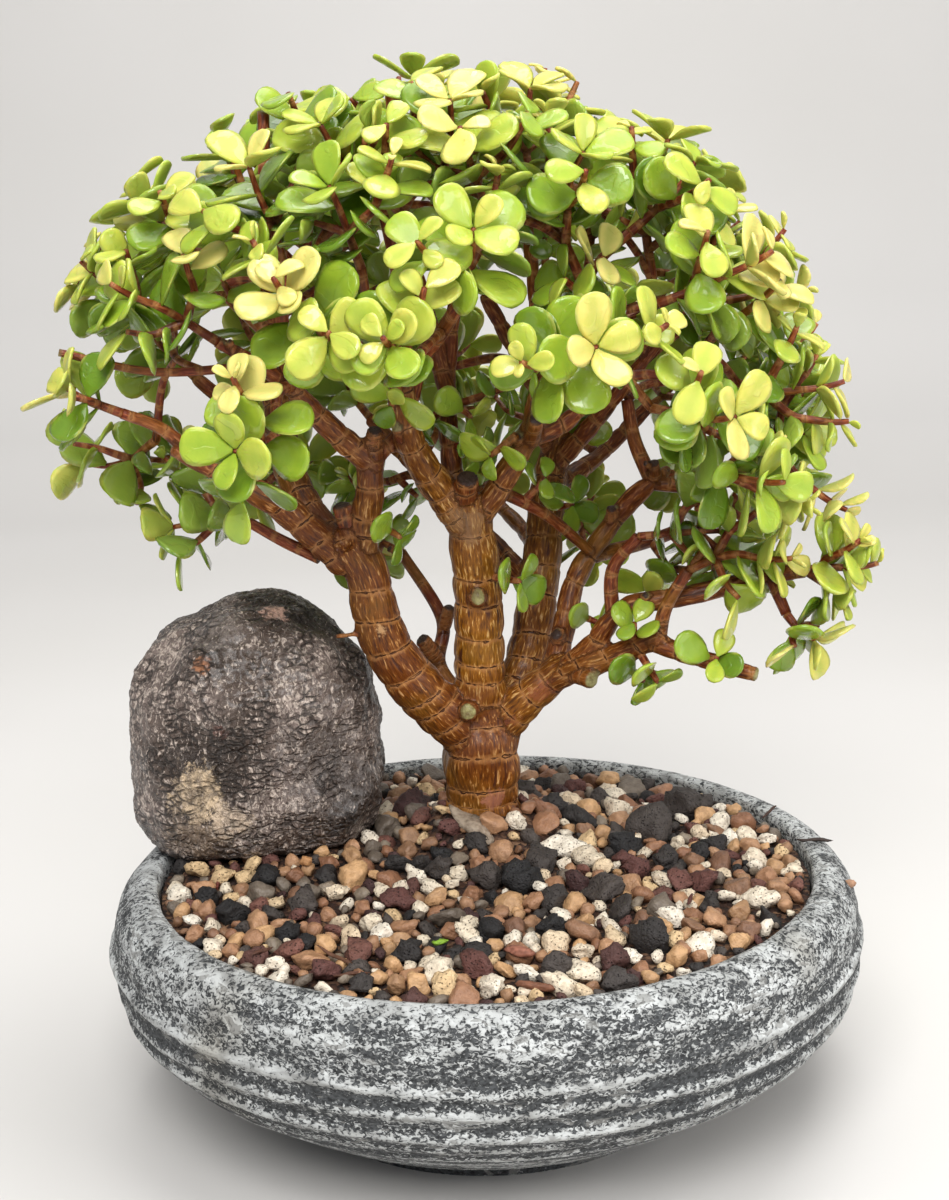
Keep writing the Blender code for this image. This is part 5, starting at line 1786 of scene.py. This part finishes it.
def grow_bud(room, draw, start, end, leaf_length):
    """A small shoot on old wood: two pairs of leaves on a short stem, placed by its pixels."""
    index, depth = seen_limb(*start, bark.rows)
    seat = Vector(bark.rows[index, PLACE])
    tip = toward(end, start, depth - bark.rows[index, RADIUS] * 0.8 - 2)
    way = (tip - seat).normalized()
    across = square_to(way, Vector((0.5, 0.2, 1)))
    nodes = [stem_block(tip, way, across, reach, half) for reach, half in ((0, 0.7), (3.5, 0.5))]
    stem = room.add(square_ring(seat, way, across, 0.7) + nodes[-1]["high"], way)
    for node, faces, length in ((nodes[0], (0, 2), leaf_length), (nodes[1], (1, 3), leaf_length * 0.7)):
        for face in faces:
            size = length * draw.uniform(0.8, 1.1)
            lift, age = draw.uniform(0, 25), draw.uniform(0.2, 0.6)
            grow_leaf(room, draw, node, face, size, lift, {stem}, age, BETWEEN_POSTURES)
    return {"seat": seat, "nodes": nodes, "fork": nodes[0], "shoots": [nodes]}


def middle_of(node):
    return sum(node["low"] + node["high"], Vector()) / 8


sprays, finer_sprays = grow_crown()
stem_bark = Bark()
stems = []
for spray in sprays + finer_sprays:
    fork = middle_of(spray["fork"])
    for start, shoot in zip([spray["seat"], fork, fork], spray["shoots"]):
        places = [start, *[middle_of(node) for node in shoot]]
        radii = np.linspace(STEM_HALF_WIDTH * 1.6, STEM_HALF_WIDTH * 0.85, len(places))
        stems.append(stem_bark.add(*fine_tube(places, radii, STEM_STEP)))
stem_bark.closed()
shoots = mesh_piece("young_shoots", *tube_set(stems, STEM_FACETS), bark_skin)
lay_bark(shoots, stem_bark, False)
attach(shoots, "root")

# Leaves
# Thick, glossy, spoon-shaped leaves of 5 to 15 mm. The old ones are mid green, and the young ones at the
# tips lime to cream with a greener middle. Leaves deep inside the crown are painted darker, as painted
# shade, and the pale rim is the leaf's pale margin and partly a painted highlight where the thick edge
# catches the light. They are gathered in eight pieces round the crown.
LEAF_STATIONS = [
    (0, 0.13), (0.05, 0.2), (0.13, 0.4), (0.25, 0.66), (0.4, 0.87), (0.56, 0.98), (0.7, 1.0),
    (0.82, 0.91), (0.91, 0.72), (0.97, 0.44),
]
LEAF_COLUMNS = (-1, -0.72, 0, 0.72, 1)
LEAF_SHAPES = 6
FOLIAGE_SIDES = 8
# The pixels of the photograph at which a shoot's tip is cream, and how near to one a tip has to be.
CREAM_REACH = 32
CREAM_TIPS = [
    (165, 230), (300, 265), (350, 160), (372, 205), (210, 145), (230, 160), (580, 105), (578, 245),
    (602, 336), (645, 212), (712, 328), (745, 352), (780, 275), (210, 385), (75, 410), (62, 300),
    (470, 405), (752, 545), (735, 420), (790, 625), (445, 130), (500, 205), (860, 492), (805, 265),
    (520, 75), (640, 185),
]


def leaf_shape(number, shapes):
    """One leaf, 1 long, 1 wide and 1 thick, bent and cupped in its own way, with its blade's coordinates."""
    draw = random.Random(number)
    bend = draw.uniform(-1.7, 0.5)
    cup = draw.uniform(-0.1, 1.0)
    skew = draw.uniform(-0.05, 0.05)
    points, blade, faces = [], [], []
    for upper in (1, -1):
        for x, width in LEAF_STATIONS:
            for column in LEAF_COLUMNS:
                fullness = math.sqrt(1 - column**4) * (0.9 if column == 0 and upper > 0 else 1)
                z = bend * x * x + cup * (column * width) ** 2 + upper * 0.5 * fullness
                z *= min(1, 0.55 + x * 2)
                points.append((x, column * width / 2 + skew * math.sin(math.pi * x), z))
                blade.append((x, column * width, upper))
    count, columns = len(points) // 2, len(LEAF_COLUMNS)
    points.append((1, 0, bend))
    blade.append((1, 0, 0))
    for start in range(0, count - columns, columns):
        for column in range(columns - 1):
            a = start + column
            faces.append((a, a + columns, a + columns + 1, a + 1))
            b = a + count
            faces.append((b, b + 1, b + columns + 1, b + columns))
    last = count - columns
    for column in range(columns - 1):
        faces.append((last + column, len(points) - 1, last + column + 1))
        faces.append((last + count + column, last + count + column + 1, len(points) - 1))
    faces.append(tuple(range(columns)) + tuple(range(count, count + columns))[::-1])
    mesh = bpy.data.meshes.new("leaf")
    mesh.from_pydata(points, [], faces)
    add_values(mesh, "blade", np.array(blade))
    joined = bmesh.new()
    joined.from_mesh(mesh)
    bmesh.ops.remove_doubles(joined, verts=joined.verts, dist=1e-5)
    bmesh.ops.recalc_face_normals(joined, faces=joined.faces)
    joined.to_mesh(mesh)
    joined.free()
    shapes.objects.link(bpy.data.objects.new("leaf", mesh))


def leaf_finish():
    """Green to cream by age and tone, darker deep in the crown as painted shade, with a pale rim that is the
    leaf's pale margin and also a painted highlight on its thick edge, a greener middle, a dull underside and
    a wet film.
    """
    gloss = {"Coat_Roughness": 0.05, "Specular_IOR_Level": 0.35}
    made, tree, place = new_finish("leaf", **gloss, Subsurface_Weight=0.12, Subsurface_Scale=0.004)
    parts = parts_of(tree, "blade")
    age, tone = attribute(tree, "age"), attribute(tree, "tone")
    cloud = clouds(tree, place, 260.0, 3.0)
    # The age value carries painted shade too: leaves deep inside the crown come lower on this ramp.
    shade = sums(tree, -0.26, (age, 0.78), (tone, 0.42), (cloud, 0.26))
    body = ramp(tree, shade, [
        (0.0, (94, 124, 34)), (0.18, (130, 158, 46)), (0.38, (158, 180, 56)),
        (0.56, (180, 190, 72)), (0.74, (202, 198, 90)), (0.92, (222, 206, 116)),
    ])
    edge = sums(tree, -0.2, (maths(tree, "ABSOLUTE", parts["Y"]), 1.0), (cloud, 0.35))
    overlays = [
        # The pale rim: the leaf's own pale margin, and a painted highlight where the thick edge catches the
        # light.
        (spanned(tree, edge, 0.8, 0.93, most=0.65), (206, 210, 108)),
        (spanned(tree, edge, 0.55, 0.1, most=0.3), (118, 150, 48)),
        (spanned(tree, parts["Z"], 0.0, -1.0, most=0.45), (148, 168, 82)),
    ]
    for share, colour in overlays:
        body = mixed(tree, share, body, paint(*colour))
    rough = spanned(tree, age, 0.1, 0.7, 0.24, 0.5)
    wet = spanned(tree, clouds(tree, place, 150.0, distortion=0.8), 0.52, 0.56)
    normal = bumped(tree, sums(tree, 0.0, (cloud, 1.0), (wet, 0.4)), 0.4, 0.6)
    coat = sums(tree, 0.16, (wet, 0.55))
    return dressed(made, Base_Color=body, Roughness=rough, Coat_Weight=coat, Normal=normal)


def crown_side(point):
    """Which of the foliage pieces a point belongs to, by its bearing."""
    bearing = math.atan2(point.y - CROWN_CENTRE.y, point.x - CROWN_CENTRE.x)
    return math.floor(bearing / (2 * math.pi) * FOLIAGE_SIDES) % FOLIAGE_SIDES


def creaminess(tip, draw):
    """How pale a shoot's tip is: at the front as the photograph shows it, elsewhere by chance."""
    if tip.y > CROWN_CENTRE.y:
        return 0.4 if draw.random() < 0.18 else 0
    across, down = pixel_of(tip)
    near = min(math.hypot(across - u, down - v) for u, v in CREAM_TIPS)
    return 0.55 if near < CREAM_REACH else 0


leaf_skin = leaf_finish()
draw = random.Random(GROWTH_SEED + 2)
rows_of = [[] for _ in range(FOLIAGE_SIDES)]
for spray in sprays + finer_sprays:
    for shoot in spray["shoots"]:
        warmth = draw.uniform(-0.18, 0.16)
        cream = creaminess(middle_of(shoot[-1]), draw)
        for node in shoot:
            for root, way, side, length, age in node["leaves"].values():
                turn = Matrix((way, -side, side.cross(way))).transposed().to_euler()
                # Painted shade: leaves deep inside the crown are made darker, through the value kept as their
                # age.
                deep = max(0, 1 - depth_in_crown(root, 6)) * 0.6
                narrow = LEAF_WIDTH_SHARE * (1 - max(0, age - 0.3) * draw.uniform(0.1, 0.4))
                size = (length * MM, length * narrow * MM, LEAF_THICKNESS * (0.45 + 0.025 * length) * MM)
                shade = age + warmth - deep + cream * (age > 0.4)
                rows_of[crown_side(spray["seat"])].append((root, turn, size, shade, draw.random()))
nodes_of = [[] for _ in range(FOLIAGE_SIDES)]
for index, spray in enumerate(sprays):
    nodes_of[crown_side(spray["seat"])].append(f"spray_{index + 1:02d}")
for number, rows in enumerate(rows_of):
    shapes = bpy.data.collections.new("leaf_shapes")
    for shape in range(LEAF_SHAPES):
        leaf_shape(shape, shapes)
    foliage = scattered(f"foliage_{number + 1}", rows, shapes, leaf_skin, number, ["age", "tone"])
    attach(foliage, "root")
    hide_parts(*nodes_of[number])

# Studio
# A plain pale floor that curves up behind, a large soft light over the front left, a fill from the right
# and a top light, as in a small product booth.
FLOOR_HALF_WIDTH = 2500
FLOOR_PROFILE = [(-1500, 0), (700, 0), (900, 0), (1060, 40), (1160, 140), (1200, 300), (1200, 2200)]
LIGHT_AIM = Vector((0, 0, 0.15))


def build_floor():
    made, tree, place = new_finish("pale_floor", Roughness=0.6)
    cloud = clouds(tree, place, 3.0)
    colour = ramp(tree, cloud, [(0.3, (206, 203, 198)), (0.7, (212, 209, 205))])
    points = []
    for distance, height in FLOOR_PROFILE:
        points += [(-FLOOR_HALF_WIDTH, distance, height), (FLOOR_HALF_WIDTH, distance, height)]
    faces = [(row, row + 1, row + 3, row + 2) for row in range(0, len(points) - 2, 2)]
    return mesh_piece("floor_sweep", points, faces, dressed(made, Base_Color=colour))


def soft_light(name, place, size, power):
    """A large flat light, in metres and watts, that faces the middle of the tree."""
    lamp = bpy.data.lights.new(name, "AREA")
    lamp.shape = "RECTANGLE"
    lamp.size, lamp.size_y = size
    lamp.energy = power
    made = placed(name, lamp)
    made.location = place
    made.rotation_euler = (LIGHT_AIM - Vector(place)).to_track_quat("-Z", "Y").to_euler()


build_floor()
soft_light("key", (-0.12, -0.95, 1.0), (0.7, 0.6), 16)
soft_light("fill", (0.9, -0.6, 0.5), (0.6, 0.6), 6)
soft_light("top", (0.1, 0.2, 1.2), (0.9, 0.9), 12)
booth = bpy.data.worlds.new("booth")
booth.use_nodes = True
booth.node_tree.nodes["Background"].inputs["Color"].default_value = (0.9, 0.93, 1, 1)
booth.node_tree.nodes["Background"].inputs["Strength"].default_value = 0.35
bpy.context.scene.world = booth
bpy.context.scene.view_settings.view_transform = "Standard"
